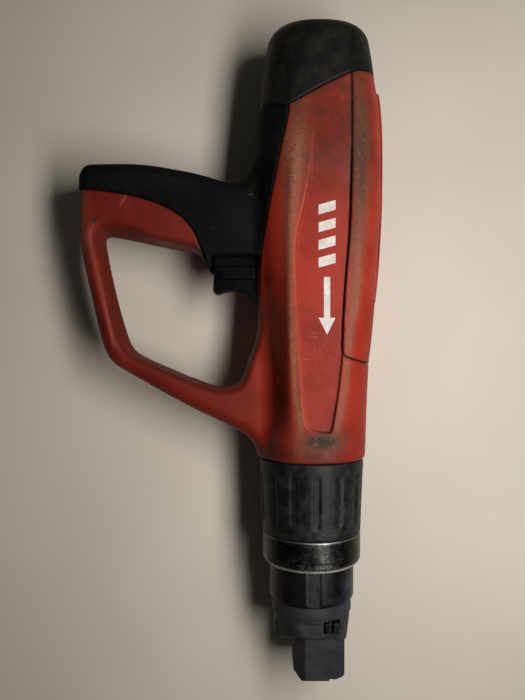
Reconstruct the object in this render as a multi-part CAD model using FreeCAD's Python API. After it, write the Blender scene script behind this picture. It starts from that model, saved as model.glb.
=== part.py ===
import FreeCAD, Part
import math
import os
from collections import namedtuple

from FreeCAD import Vector

# Powder-actuated fastening tool, in millimetres.
# Working frame: the shooting axis is Y, with its zero at the housing's front edge and +Y towards the
# rear cap. +X points away from the grip and +Z out of the right flank. The tool lies on its left flank.
# Every piece is moved by ROW_SHIFT when it is written, so that the origin is under the middle of the
# whole tool, on the surface that it lies on.

# ---- driving dimensions ----
MUZZLE_Y = -148.9
REAR_Y = 294.8
GRIP_END_X = -158.0
SPINE_X = 48.8
FLANK_Z = 37.5
ROW_SHIFT = Vector(-(GRIP_END_X + SPINE_X) / 2, -(MUZZLE_Y + REAR_Y) / 2, FLANK_Z)

WALL = 3.0
PANEL_DEPTH = 2.5
PANEL_Z = 33.5
HANDLE_HALF_Z = 16.0
HANDLE_CHAMFER = 5.0
RUN = 0.3  # gap between pieces that move past each other
PRESS = 0.05  # gap between turned pieces that are fixed to each other
BIG = 400.0

# strokes
CONTACT_STROKE = 15.5
PISTON_STROKE = 120.0
FIRING_PIN_STROKE = 12.0
TRIGGER_STROKE = 8.0
POWER_BUTTON_STROKE = 2.0
RELEASE_STROKE = 3.0
LATCH_STROKE = 2.0
LATCH_X = (7.0, 16.5)
LATCH_Y = (-110.9, -104.1)
LATCH_GAP = 0.5

# turned pieces on the shooting axis: radii
RECEIVER_R = 25.2
RECEIVER_BORE = 23.0
BARREL_R = RECEIVER_BORE - RUN
BARREL_REAR_R = 18.0
BARREL_BORE = 15.0
WAIST_R = 19.0
ROD_R = 4.0
BORE_R = ROD_R + RUN
BUSH_R = 9.0
COLLAR_REAR_R = 35.5
COLLAR_FRONT_R = 33.5
COLLAR_BORE = 30.0
FLUTES = 14
FLUTE_R = 4.6
FLUTE_DEPTH = 1.6
ADAPTER_R = 28.8
HEAD_R = 27.1

# turned pieces: places along the axis
COLLAR_FRONT_Y = -49.3
RING_FRONT_Y = -70.0
ADAPTER_FRONT_Y = -93.0
HEAD_REAR_Y = -94.0
HEAD_FRONT_Y = -124.0
BARREL_FRONT_Y = -100.0
WAIST_Y = (-30.0, 46.0)
BARREL_STEP_Y = 60.0
BARREL_END_Y = 164.0
CHAMBER_Y = 158.0
SPRING_SEAT_Y = 142.0
BREECH_Y = 180.0
RECEIVER_END_Y = 200.0
BREECH_TUBE_END_Y = 258.0
BUFFER_FRONT_Y = -24.0
BUSH_REAR_Y = -109.0
NOSE_REAR_Y = -121.0

# nose block, off the axis by its own centre
NOSE_CENTRE_X = 4.5
NOSE_HALF = 17.4
NOSE_CORNER = 6.0

# way for the cartridge strip, straight along X through the grip and the receiver
WAY_Y = (165.7, 178.3)
WAY_HALF_Z = 4.6
LINER_WALL = 1.2

# controls on the left flank
WHEEL_X = 2.5
WHEEL_Y = 118.0
WHEEL_R = 12.0
WHEEL_OUTER_Z = -34.8
CUP_FLOOR_Z = -28.2
POWER_BUTTON_Y = 96.0
POWER_BUTTON_R = 4.0
RELEASE_Y = 40.0
RELEASE_R = 5.0

# levers beside the strip's way
LEVER_NEAR_Z = 6.3
LEVER_THICK = 3.0
PIN_R = 2.0
BAR_PIVOT = (-36.0, 172.0)
TRANSPORT_PIVOT = (-31.0, 150.0)

# housing screws: x, y and the depth of the head's seat below the mid-plane
SCREWS = (
    (-150.5, 157.0, 12.0),
    (-62.0, 37.0, 12.0),
    (-30.5, 14.0, 17.0),
    (30.5, 14.0, 17.0),
    (36.0, 222.0, 26.0),
    (-28.0, 222.0, 22.0),
)
SCREW_R = 1.8
SCREW_HEAD_R = 3.0
SCREW_HEAD = 2.5
BOSS_R = 4.2

# cross-sections of the housing's body: rounded rectangles at places along the axis
Section = namedtuple("Section", "y x_low x_high half_z r_low r_high")
BODY = (
    Section(0.0, -36.0, 36.0, 36.0, 35.9, 35.9),
    Section(4.0, -37.2, 37.5, 37.0, 36.9, 36.9),
    Section(33.0, -37.2, 37.8, 37.0, 34.0, 32.0),
    Section(81.0, -36.7, 40.9, 36.5, 31.0, 26.0),
    Section(122.0, -36.5, 43.5, 36.0, 30.0, 23.0),
    Section(178.0, -36.5, 46.3, 36.0, 30.0, 22.0),
    Section(206.0, -38.0, 46.3, 36.0, 30.0, 22.0),
    Section(246.0, -34.6, 44.0, 36.0, 30.0, 22.0),
    Section(268.0, -32.6, 42.3, 35.5, 30.0, 26.0),
    Section(282.0, -30.0, 40.0, 34.0, 28.0, 27.0),
    Section(290.0, -24.0, 36.0, 30.0, 28.0, 27.0),
    Section(REAR_Y, -12.0, 25.0, 20.0, 18.0, 18.0),
)

# outline of the closed handle, from the body's rear round to its front
HANDLE = (
    (-20.0, 205.0), (-39.0, 201.8), (-43.3, 191.0), (-48.7, 187.7), (-54.0, 187.3), (-82.3, 194.5),
    (-109.0, 198.2), (-122.6, 198.9), (-153.5, 197.4), (-156.5, 193.0), (GRIP_END_X, 186.0),
    (GRIP_END_X, 165.0), (-153.5, 133.0), (-142.0, 84.3), (-138.0, 73.0), (-133.3, 66.8),
    (-126.0, 62.0), (-102.4, 48.0), (-62.0, 26.5), (-48.7, 19.8), (-40.0, 13.0), (-36.0, 6.4), (-20.0, 5.0),
)
# finger gap inside the handle
GAP = (
    (-143.8, 148.6), (-139.5, 127.0), (-131.0, 90.5), (-126.0, 77.0), (-122.5, 72.8), (-116.8, 69.2),
    (-92.0, 58.6), (-77.9, 52.2), (-67.3, 47.3), (-62.3, 46.9), (-56.6, 48.0), (-51.7, 50.8),
    (-48.8, 54.4), (-46.7, 60.0), (-41.7, 74.0), (-38.5, 84.0), (-36.9, 95.0), (-36.9, 136.0),
    (-74.0, 136.5), (-77.9, 139.7), (-107.6, 145.0), (-127.5, 150.0), (-141.5, 151.5),
)
# seam of the rear cap, across the flank
CAP_SEAM = ((-60.0, 238.0), (-35.0, 238.0), (-25.0, 232.0), (-17.0, 230.0), (3.0, 242.0), (23.0, 251.0),
            (42.0, 263.0), (60.0, 270.0))
# edge of the soft grip shell, from the rear cap down the body and along the grip to its end
GRIP_BODY_EDGE = ((-17.0, 230.0), (-22.3, 203.0), (-26.0, 184.0), (-31.0, 160.0), (-35.0, 136.0))
GRIP_EDGE = ((-74.0, 136.0), (-78.4, 151.9), (-85.0, 161.2), (-95.0, 168.2), (-108.3, 173.8),
             (-121.6, 177.5), (-141.5, 180.4), (-170.0, 183.0))
# seam of the top cover, from its front end to the rear cap
COVER_SEAM = ((60.0, 61.0), (38.5, 65.0), (18.2, 70.0), (16.3, 73.0), (18.6, 109.0), (21.7, 147.0),
              (23.0, 170.0), (23.0, 251.0))
# recessed flat panel on each flank
PANEL = ((-5.3, 182.0), (-12.9, 147.0), (-13.4, 128.0), (-9.1, 49.0), (-7.2, 30.0), (-4.5, 24.5), (3.0, 22.0),
         (10.0, 21.7), (11.9, 29.7), (16.3, 72.0), (18.6, 109.0), (21.7, 147.0), (22.5, 170.0), (22.5, 240.0),
         (10.0, 236.0), (-1.0, 222.0))
# raised ridges beside the panel: x range and y range, on both flanks
RIDGES = (((-18.5, -13.8), (25.0, 190.0)), ((24.5, 31.0), (100.0, 238.0)))
# raised rib along the spine: y and x
RIB = ((105.0, 40.0), (105.0, 44.3), (122.5, 45.7), (177.7, 48.6), (190.0, SPINE_X), (206.0, SPINE_X),
       (238.4, 47.5), (247.0, 46.2), (247.0, 40.0))
RIB_HALF_Z = 11.0

# outlines of the levers and the trigger, seen along -Z
TRIGGER_BAR = ((-53.0, 153.5), (-50.0, 153.0), (-40.0, 166.0), (-32.5, 170.0), (-30.5, 176.0), (-30.5, 202.0),
               (-15.5, 211.0), (-15.5, 216.0), (-18.0, 216.0), (-33.0, 205.5), (-33.6, 194.0), (-36.0, 177.0), (-41.0, 172.0))
TRANSPORT_LEVER = ((-33.0, 144.0), (-29.0, 144.0), (-28.6, 151.0), (-29.5, 172.0), (-31.5, 175.0),
                   (-33.5, 173.0), (-33.6, 151.0))


# ---- shapes ----
def vectors(points, z):
    return [Vector(x, y, z) for x, y in points]


def polygon(points, z):
    return Part.makePolygon(vectors(points, z) + [Vector(points[0][0], points[0][1], z)])


def prism(points, z_low, z_high):
    return Part.Face(polygon(points, z_low)).extrude(Vector(0, 0, z_high - z_low))


def block(x_range, y_range, z_range):
    size = [high - low for low, high in (x_range, y_range, z_range)]
    return Part.makeBox(*size, Vector(x_range[0], y_range[0], z_range[0]))


def rod(radius, y_low, y_high, x=0.0, z=0.0):
    return Part.makeCylinder(radius, y_high - y_low, Vector(x, y_low, z), Vector(0, 1, 0))


def upright(radius, x, y, z_low, z_high):
    return Part.makeCylinder(radius, z_high - z_low, Vector(x, y, z_low), Vector(0, 0, 1))


def tube(outer, inner, y_low, y_high):
    return rod(outer, y_low, y_high).cut(rod(inner, y_low, y_high))


def turned(profile):
    """A solid of revolution about the shooting axis, from a closed profile of radius and y."""
    face = Part.Face(polygon(profile, 0.0))
    return face.revolve(Vector(0, 0, 0), Vector(0, 1, 0), 360)


def signed_area(points):
    pairs = zip(points, points[1:] + points[:1])
    return sum(a[0] * b[1] - b[0] * a[1] for a, b in pairs) / 2


def moved_edges(points, distance):
    """The same closed outline with every edge moved inwards, or outwards where distance is negative."""
    points = list(points)
    turn = 1.0 if signed_area(points) > 0 else -1.0
    lines = []
    for a, b in zip(points, points[1:] + points[:1]):
        length = math.hypot(b[0] - a[0], b[1] - a[1])
        normal = (-turn * (b[1] - a[1]) / length, turn * (b[0] - a[0]) / length)
        lines.append((normal, normal[0] * a[0] + normal[1] * a[1] + distance))
    result = []
    for (m, p), (n, q) in zip(lines[-1:] + lines[:-1], lines):
        det = m[0] * n[1] - m[1] * n[0]
        result.append(((p * n[1] - q * m[1]) / det, (q * m[0] - p * n[0]) / det))
    return result


def edged_prism(points, half_z, chamfer):
    """A prism about the mid-plane whose long edges are chamfered all round."""
    flat = half_z - chamfer
    small = moved_edges(points, chamfer)
    solid = prism(points, -flat, flat)
    for side in (-1, 1):
        wires = [polygon(points, side * flat), polygon(small, side * half_z)]
        solid = solid.fuse(Part.makeLoft(wires, True, True))
    return solid


def rounded_wire(section, inset_x, inset_z):
    """Rounded rectangle across the axis, as four arcs and four lines."""
    x_low = section.x_low + inset_x
    x_high = section.x_high - inset_x
    half = section.half_z - inset_z
    r_low = min(section.r_low, half - 0.1) - inset_x / 2
    r_high = min(section.r_high, half - 0.1) - inset_x / 2
    corners = ((x_high, half, r_high, 0.0), (x_low, half, r_low, 90.0), (x_low, -half, r_low, 180.0),
               (x_high, -half, r_high, 270.0))
    edges = []
    ends = []
    for x, z, radius, start in corners:
        centre = (x - radius if x == x_high else x + radius, z - radius if z > 0 else z + radius)
        on_arc = []
        for angle in (start, start + 45.0, start + 90.0):
            turn = math.radians(angle)
            on_arc.append(Vector(centre[0] + radius * math.cos(turn), section.y, centre[1] + radius * math.sin(turn)))
        edges.append(Part.Arc(*on_arc).toShape())
        ends.append((on_arc[0], on_arc[2]))
    joined = []
    for index, edge in enumerate(edges):
        joined.append(edge)
        joined.append(Part.LineSegment(ends[index][1], ends[(index + 1) % 4][0]).toShape())
    return Part.Wire(joined)


def body_loft(sections, inset_x=0.0, inset_z=0.0):
    wires = [rounded_wire(section, inset_x, inset_z) for section in sections]
    return Part.makeLoft(wires, True, True)


def coil(radius, wire_r, start, length, turns, direction=Vector(0, 1, 0)):
    """A compression spring: one wire wound along direction from start."""
    path = Part.makeHelix((length - 2 * wire_r) / turns, length - 2 * wire_r, radius)
    profile = Part.Wire(Part.Circle(Vector(radius, 0, 0), Vector(0, 1, 0), wire_r).toShape())
    spring = Part.Wire(path).makePipeShell([profile], True, True)
    spring.translate(Vector(0, 0, wire_r))
    spring.Placement = FreeCAD.Placement(start, FreeCAD.Rotation(Vector(0, 0, 1), direction)) * spring.Placement
    return spring


def ring_of(count, shape):
    """Copies of a shape, evenly spaced round the shooting axis."""
    copies = []
    for index in range(count):
        copy = shape.copy()
        copy.rotate(Vector(0, 0, 0), Vector(0, 1, 0), 360.0 * index / count)
        copies.append(copy)
    return copies


# ---- housing ----
def screw_cut(x, y, seat):
    return upright(SCREW_HEAD_R + PRESS, x, y, -FLANK_Z - 1, -seat).fuse(upright(SCREW_R, x, y, -seat, seat - 3))


def controls_cut():
    cut = upright(WHEEL_R + RUN, WHEEL_X, WHEEL_Y, -FLANK_Z - 1, CUP_FLOOR_Z)
    cut = cut.fuse(upright(POWER_BUTTON_R + RUN, WHEEL_X, POWER_BUTTON_Y, -FLANK_Z - 1, -30))
    return cut.fuse(upright(RELEASE_R + RUN, WHEEL_X, RELEASE_Y, -FLANK_Z - 1, -30))


def housing_outer():
    outer = body_loft(BODY).fuse(edged_prism(HANDLE, HANDLE_HALF_Z, HANDLE_CHAMFER))
    outer = outer.cut(prism(GAP, -BIG, BIG))
    rib = prism([(x, y) for y, x in RIB], -RIB_HALF_Z, RIB_HALF_Z)
    outer = outer.fuse(rib)
    for x_range, y_range in RIDGES:
        for z_range in ((PANEL_Z - 3, FLANK_Z), (-FLANK_Z, 3 - PANEL_Z)):
            outer = outer.fuse(block(x_range, y_range, z_range))
    for z_range in ((PANEL_Z, BIG), (-BIG, -PANEL_Z)):
        outer = outer.cut(prism(PANEL, *z_range))
    return outer


def housing_cavity():
    inner = [BODY[0]._replace(y=WALL)] + list(BODY[1:-1]) + [BODY[-1]._replace(y=REAR_Y - WALL)]
    cavity = body_loft(inner, WALL, WALL + PANEL_DEPTH)
    handle = prism(moved_edges(HANDLE, WALL), WALL - HANDLE_HALF_Z, HANDLE_HALF_Z - WALL)
    return cavity.fuse(handle.cut(prism(moved_edges(GAP, -WALL), -BIG, BIG)))


def housing_shell():
    """The whole moulded shell, before it is parted into halves, cover, cap and grip shell."""
    outer = housing_outer()
    shell = outer.cut(housing_cavity())
    for x, y, seat in SCREWS:
        shell = shell.fuse(upright(BOSS_R, x, y, -BIG, BIG).common(outer))
    for y_low, bore in ((58.0, RECEIVER_R), (226.0, 14.0)):
        web = outer.common(block((-BIG, BIG), (y_low, y_low + WALL), (-BIG, BIG)))
        body_only = block((-40.0, BIG), (y_low, y_low + WALL), (-BIG, BIG))
        shell = shell.fuse(web.common(body_only).cut(rod(bore + PRESS, y_low - 1, y_low + WALL + 1)))
    cup = upright(WHEEL_R + RUN + 2, WHEEL_X, WHEEL_Y, -PANEL_Z, CUP_FLOOR_Z + 1.6)
    for y, radius in ((POWER_BUTTON_Y, POWER_BUTTON_R), (RELEASE_Y, RELEASE_R)):
        cup = cup.fuse(upright(radius + RUN + 2, WHEEL_X, y, -PANEL_Z, -28))
    shell = shell.fuse(cup).cut(controls_cut())
    shell = shell.cut(upright(3.0 + RUN, WHEEL_X, WHEEL_Y, -BIG, 0))
    for y in (POWER_BUTTON_Y, RELEASE_Y):
        shell = shell.cut(upright(1.6, WHEEL_X, y, -BIG, 0))
    for x, y, seat in SCREWS:
        shell = shell.cut(screw_cut(x, y, seat))
    shell = shell.cut(rod(RECEIVER_R + PRESS, -1, RECEIVER_END_Y + 1))
    shell = shell.cut(block((-68.2, -37.0), (130.0, 142.0), (-9.6, 9.6)))
    shell = shell.cut(entry_outer()).cut(strip_way())
    for pivot, side in ((BAR_PIVOT, 1), (TRANSPORT_PIVOT, -1)):
        near = LEVER_NEAR_Z + LEVER_THICK + RUN
        z_range = (near, HANDLE_HALF_Z - 1) if side > 0 else (1 - HANDLE_HALF_Z, -near)
        boss = upright(BOSS_R, *pivot, *z_range).common(outer).cut(rod(RECEIVER_R + PRESS, 0, RECEIVER_END_Y))
        shell = shell.fuse(boss).cut(upright(PIN_R, *pivot, *sorted((side * near, side * 13.0))))
    return shell


def cap_region():
    return prism(list(CAP_SEAM) + [(60.0, BIG), (-60.0, BIG)], -BIG, BIG)


def grip_region():
    outline = list(GRIP_BODY_EDGE) + list(GRIP_EDGE) + [(-170.0, 238.0), (-35.0, 238.0), (-25.0, 232.0)]
    return prism(outline, -BIG, BIG)


def cover_region():
    return prism(list(COVER_SEAM) + [(42.0, 263.0), (60.0, 270.0)], -BIG, BIG)


def housing_pieces():
    """The shell parted along its seams and, for the red housing, along the mid-plane."""
    shell = housing_shell()
    cap, grip, cover = cap_region(), grip_region(), cover_region()
    red = shell.cut(cap).cut(grip).cut(cover)
    half = block((-BIG, BIG), (-BIG, BIG), (0, BIG))
    return {
        "housing_right": red.common(half),
        "housing_left": red.cut(half),
        "top_cover": shell.common(cover).cut(cap),
        "rear_cap": shell.common(cap),
        "grip_pad": shell.common(grip).cut(cap),
    }


def housing_screws():
    screws = []
    for x, y, seat in SCREWS:
        head = upright(SCREW_HEAD_R, x, y, -seat - SCREW_HEAD, -seat)
        drive = upright(1.5, x, y, -seat - SCREW_HEAD, -seat - 1)
        screws.append(head.cut(drive).fuse(upright(SCREW_R - PRESS, x, y, -seat, seat - 3.5)))
    return Part.makeCompound(screws)


# ---- strip path ----
def strip_way():
    return block((-BIG, BIG), WAY_Y, (-WAY_HALF_Z, WAY_HALF_Z))


def entry_outer():
    return block((GRIP_END_X, -152.0), (WAY_Y[0] - 2.7, WAY_Y[1] + 2.7), (-7.5, 7.5))


def cartridge_guide():
    y_range = (WAY_Y[0] - LINER_WALL, WAY_Y[1] + LINER_WALL)
    half = WAY_HALF_Z + LINER_WALL
    return block((-152.0, -27.0), y_range, (-half, half)).cut(strip_way())


def flat_lever(points, pivot, side):
    z_range = sorted((side * LEVER_NEAR_Z, side * (LEVER_NEAR_Z + LEVER_THICK)))
    return prism(points, *z_range).cut(upright(PIN_R + PRESS, *pivot, -BIG, BIG))


def pivot_pin(pivot, side):
    return upright(PIN_R, *pivot, *sorted((side * LEVER_NEAR_Z, side * 13.0)))


# ---- receiver and firing parts ----
def receiver_tube():
    return tube(RECEIVER_R, RECEIVER_BORE, -8.0, RECEIVER_END_Y).cut(strip_way())


def front_bushing():
    outer = COLLAR_BORE - 0.5
    groove = COLLAR_BORE - 2.0
    body = turned([(BARREL_R + RUN, -32.0), (outer, -32.0), (outer, -1.0), (RECEIVER_R + PRESS, -1.0),
                   (RECEIVER_R + PRESS, -8.0), (BARREL_R + RUN, -8.0)])
    return body.cut(tube(outer + 1, groove, -28.0, -26.5))


def breech_block():
    block_r = RECEIVER_BORE - PRESS
    body = turned([(0.0, BREECH_Y), (block_r, BREECH_Y), (block_r, RECEIVER_END_Y), (14.0, RECEIVER_END_Y),
                   (14.0, BREECH_TUBE_END_Y), (0.0, BREECH_TUBE_END_Y)])
    body = body.cut(rod(5.0, BREECH_Y - 1, RECEIVER_END_Y)).cut(rod(8.5, RECEIVER_END_Y, BREECH_TUBE_END_Y + 1))
    return body.cut(block((-16.0, -7.0), (205.0, 236.0), (LEVER_NEAR_Z - 1, LEVER_NEAR_Z + LEVER_THICK + 1)))


def firing_pin():
    return turned([(0.0, BREECH_Y + 0.4), (2.5, BREECH_Y + 0.4), (2.5, 214.0), (8.0, 214.0), (8.0, 220.0),
                   (4.0, 220.0), (4.0, 232.0), (0.0, 232.0)])


# ---- front unit ----
def collar():
    body = turned([(COLLAR_BORE, COLLAR_FRONT_Y), (COLLAR_FRONT_R, COLLAR_FRONT_Y), (COLLAR_REAR_R, -4.0),
                   (COLLAR_REAR_R - 2, -RUN), (COLLAR_BORE, -RUN)])
    rear = Vector(0, -12.0, COLLAR_REAR_R + FLUTE_R - FLUTE_DEPTH - 0.3)
    front = Vector(0, COLLAR_FRONT_Y - 1, COLLAR_FRONT_R + FLUTE_R - FLUTE_DEPTH)
    along = front - rear
    flute = Part.makeCylinder(FLUTE_R, along.Length, rear, along)
    for cutter in ring_of(FLUTES, flute):
        body = body.cut(cutter)
    return body


def steel_ring():
    bore = ADAPTER_R + RUN
    return turned([(bore, RING_FRONT_Y), (COLLAR_FRONT_R - 3, RING_FRONT_Y), (COLLAR_FRONT_R, RING_FRONT_Y + 3),
                   (COLLAR_FRONT_R, COLLAR_FRONT_Y), (bore, COLLAR_FRONT_Y)])


def piston_guide():
    """The barrel: it runs in the receiver on a front and a rear land, with a thinner wall between them."""
    waist_low, waist_high = WAIST_Y
    return turned([(BARREL_BORE, BARREL_FRONT_Y), (BARREL_R, BARREL_FRONT_Y), (BARREL_R, waist_low),
                   (WAIST_R, waist_low), (WAIST_R, waist_high), (BARREL_R, waist_high), (BARREL_R, BARREL_STEP_Y),
                   (BARREL_REAR_R, BARREL_STEP_Y), (BARREL_REAR_R, BARREL_END_Y), (BARREL_BORE, BARREL_END_Y)])


def nose_head():
    bore = BUSH_R + PRESS
    socket = BARREL_R + PRESS
    body = turned([(bore, HEAD_FRONT_Y), (22.0, HEAD_FRONT_Y), (25.5, HEAD_FRONT_Y + 5), (HEAD_R, -105.0),
                   (HEAD_R, HEAD_REAR_Y), (socket, HEAD_REAR_Y), (socket, BARREL_FRONT_Y), (bore, BARREL_FRONT_Y)])
    window = block((LATCH_X[0] - LATCH_GAP, LATCH_X[1] + LATCH_GAP),
                   (LATCH_Y[0] - LATCH_GAP, LATCH_Y[1] + LATCH_GAP), (16.0, BIG))
    return body.cut(window).cut(nose_block(False))


def nose_outline(half, corner):
    """Square across the axis with its corners cut off, as x and z."""
    near = half - corner
    return [(half, -near), (half, near), (near, half), (-near, half), (-half, near), (-half, -near),
            (-near, -half), (near, -half)]


def nose_block(with_bore=True):
    """Square nose with cut corners, bevelled at the front and set off the axis."""
    stations = ((NOSE_REAR_Y, NOSE_HALF, NOSE_CORNER), (MUZZLE_Y + 6.5, NOSE_HALF, NOSE_CORNER),
                (MUZZLE_Y, NOSE_HALF - 6.0, NOSE_CORNER - 2.5))
    wires = []
    for y, half, corner in stations:
        points = [Vector(NOSE_CENTRE_X + x, y, z) for x, z in nose_outline(half, corner)]
        wires.append(Part.makePolygon(points + points[:1]))
    solid = Part.makeLoft(wires, True, True)
    return solid.cut(rod(BUSH_R + PRESS, MUZZLE_Y - 1, 0)) if with_bore else solid


def piston():
    head_y = CHAMBER_Y - RUN
    tip_y = MUZZLE_Y + PISTON_STROKE
    head_r = BARREL_BORE - RUN
    body = turned([(0.0, tip_y), (ROD_R, tip_y), (ROD_R, head_y - 24), (9.0, head_y - 24), (head_r, head_y - 16),
                   (head_r, head_y), (0.0, head_y)])
    for y in (head_y - 6, head_y - 12):
        body = body.cut(tube(head_r + 1, head_r - 1.5, y, y + 2))
    return body


def piston_rings():
    head_y = CHAMBER_Y - RUN
    head_r = BARREL_BORE - RUN
    return Part.makeCompound([tube(head_r, head_r - 1.5 + PRESS, y + 0.1, y + 1.9)
                              for y in (head_y - 6, head_y - 12)])


def head_latch():
    """Sliding block with a finger slot across its outer face."""
    return block(LATCH_X, LATCH_Y, (19.0, 25.4)).cut(block((10.8, 12.8), (-BIG, BIG), (24.4, BIG)))


# ---- trigger and controls ----
def trigger():
    """Trigger blade with a hollow finger face that runs lower beside the barrel, and its stem."""
    blade = prism(((-67.4, 136.0), (-67.4, 119.0), (-65.5, 114.2), (-57.0, 116.2), (-50.0, 114.8), (-43.5, 110.8),
                   (-38.0, 106.8), (-37.6, 136.0)), -9.0, 9.0)
    stem = block((-61.0, -49.0), (136.0, 152.0), (-LEVER_NEAR_Z + RUN, LEVER_NEAR_Z - RUN))
    return blade.fuse(stem).cut(rod(4.6, 140.0, 153.0, x=-55.0))


def power_wheel():
    wheel = upright(WHEEL_R, WHEEL_X, WHEEL_Y, WHEEL_OUTER_Z, CUP_FLOOR_Z - RUN)
    for index in range(16):
        turn = 2 * math.pi * (index + 0.5) / 16
        x = WHEEL_X + (WHEEL_R + 0.6) * math.cos(turn)
        y = WHEEL_Y + (WHEEL_R + 0.6) * math.sin(turn)
        wheel = wheel.cut(upright(1.6, x, y, WHEEL_OUTER_Z - 1, CUP_FLOOR_Z))
    wheel = wheel.cut(upright(1.3, WHEEL_X, WHEEL_Y + 8.0, WHEEL_OUTER_Z - 1, WHEEL_OUTER_Z + 0.8))
    return wheel.cut(upright(2.5, WHEEL_X, WHEEL_Y, -BIG, 0))


def wheel_shaft():
    outer_end = upright(2.5 - PRESS, WHEEL_X, WHEEL_Y, WHEEL_OUTER_Z, CUP_FLOOR_Z - RUN)
    return outer_end.fuse(upright(3.0, WHEEL_X, WHEEL_Y, CUP_FLOOR_Z - RUN, -26.5))


def flank_button(y, radius, outer_z):
    head = upright(radius, WHEEL_X, y, outer_z, outer_z + 1.5)
    return head.fuse(upright(1.3, WHEEL_X, y, outer_z + 1.5, -30.0))


def build():
    pieces = housing_pieces()
    turn_y = Vector(0, 1, 0)
    pieces.update({
        "housing_screws": housing_screws(),
        "strip_entry": entry_outer().cut(strip_way()),
        "cartridge_guide": cartridge_guide(),
        "trigger_bar": flat_lever(TRIGGER_BAR, BAR_PIVOT, 1),
        "trigger_bar_pin": pivot_pin(BAR_PIVOT, 1),
        "transport_lever": flat_lever(TRANSPORT_LEVER, TRANSPORT_PIVOT, -1),
        "transport_pin": pivot_pin(TRANSPORT_PIVOT, -1),
        "receiver_tube": receiver_tube(),
        "front_bushing": front_bushing(),
        "collar_clip": tube(COLLAR_BORE - 0.4, COLLAR_BORE - 2 + PRESS, -27.9, -26.6),
        "spring_seat": tube(RECEIVER_BORE - PRESS, BARREL_REAR_R + RUN, SPRING_SEAT_Y, SPRING_SEAT_Y + 4),
        "breech_block": breech_block(),
        "firing_pin_guide": tube(5.0 - PRESS, 2.5 + 0.1, BREECH_Y + 0.2, RECEIVER_END_Y - 1),
        "pin_plug": rod(14.0, BREECH_TUBE_END_Y, BREECH_TUBE_END_Y + 6),
        "rear_absorber": rod(21.0, BREECH_TUBE_END_Y + 6, BREECH_TUBE_END_Y + 18),
        "firing_pin": firing_pin(),
        "firing_pin_spring": coil(6.2, 1.0, Vector(0, 220.2, 0), BREECH_TUBE_END_Y - 220.4, 8, turn_y),
        "collar": collar(),
        "steel_ring": steel_ring(),
        "adapter_sleeve": tube(ADAPTER_R, BARREL_R + PRESS, ADAPTER_FRONT_Y, -52.0),
        "front_o_ring": tube(25.5, BARREL_R + PRESS, HEAD_REAR_Y, ADAPTER_FRONT_Y),
        "nose_head": nose_head(),
        "nose_block": nose_block(),
        "nose_bush": tube(BUSH_R, BORE_R, MUZZLE_Y, BUSH_REAR_Y),
        "head_latch": head_latch(),
        "latch_spring": coil(1.8, 0.4, Vector(11.8, sum(LATCH_Y) / 2, 16.1), 2.8, 2, Vector(0, 0, 1)),
        "piston_guide": piston_guide(),
        "chamber_block": tube(BARREL_BORE - PRESS, 3.4, CHAMBER_Y, BARREL_END_Y),
        "buffer": tube(BARREL_BORE - PRESS, ROD_R + 0.5, BUFFER_FRONT_Y, 8.0),
        "stop_ring": tube(BARREL_BORE - PRESS, ROD_R + 0.5, BUFFER_FRONT_Y - 6, BUFFER_FRONT_Y),
        "contact_spring": coil(20.5, 1.6, Vector(0, BARREL_STEP_Y + 0.2, 0), SPRING_SEAT_Y - BARREL_STEP_Y - 0.4,
                               9, turn_y),
        "piston": piston(),
        "piston_rings": piston_rings(),
        "trigger": trigger(),
        "trigger_spring": coil(3.4, 0.6, Vector(-55.0, 140.2, 0), WAY_Y[0] - LINER_WALL - 140.4, 7, turn_y),
        "power_wheel": power_wheel(),
        "wheel_shaft": wheel_shaft(),
        "power_button": flank_button(POWER_BUTTON_Y, POWER_BUTTON_R, -34.2),
        "power_button_spring": coil(2.4, 0.4, Vector(WHEEL_X, POWER_BUTTON_Y, -32.6), 2.5, 1.5, Vector(0, 0, 1)),
        "release_button": flank_button(RELEASE_Y, RELEASE_R, -35.0),
        "release_spring": coil(3.0, 0.45, Vector(WHEEL_X, RELEASE_Y, -33.4), 3.3, 1.5, Vector(0, 0, 1)),
    })
    return pieces


def main():
    os.makedirs("parts", exist_ok=True)
    for name, shape in build().items():
        shape = shape.removeSplitter() if name not in ("housing_screws", "piston_rings") else shape
        shape.translate(ROW_SHIFT)
        solids = len(shape.Solids)
        print(name, "solids", solids, "valid", shape.isValid(), "volume", round(shape.Volume))
        shape.exportStep("parts/" + name + ".step")


main()
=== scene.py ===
"""The looks of a powder-actuated fastening tool that lies on its left flank on a pale floor.

Shapes are written in the tool's own frame, in millimetres: Y is the shooting axis with its zero at
the housing's front edge, +Y runs to the rear cap, +X away from the grip, +Z out of the right flank.
Moulded pieces are signed distance fields, which are negative inside, turned into quad meshes.
"""

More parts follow.
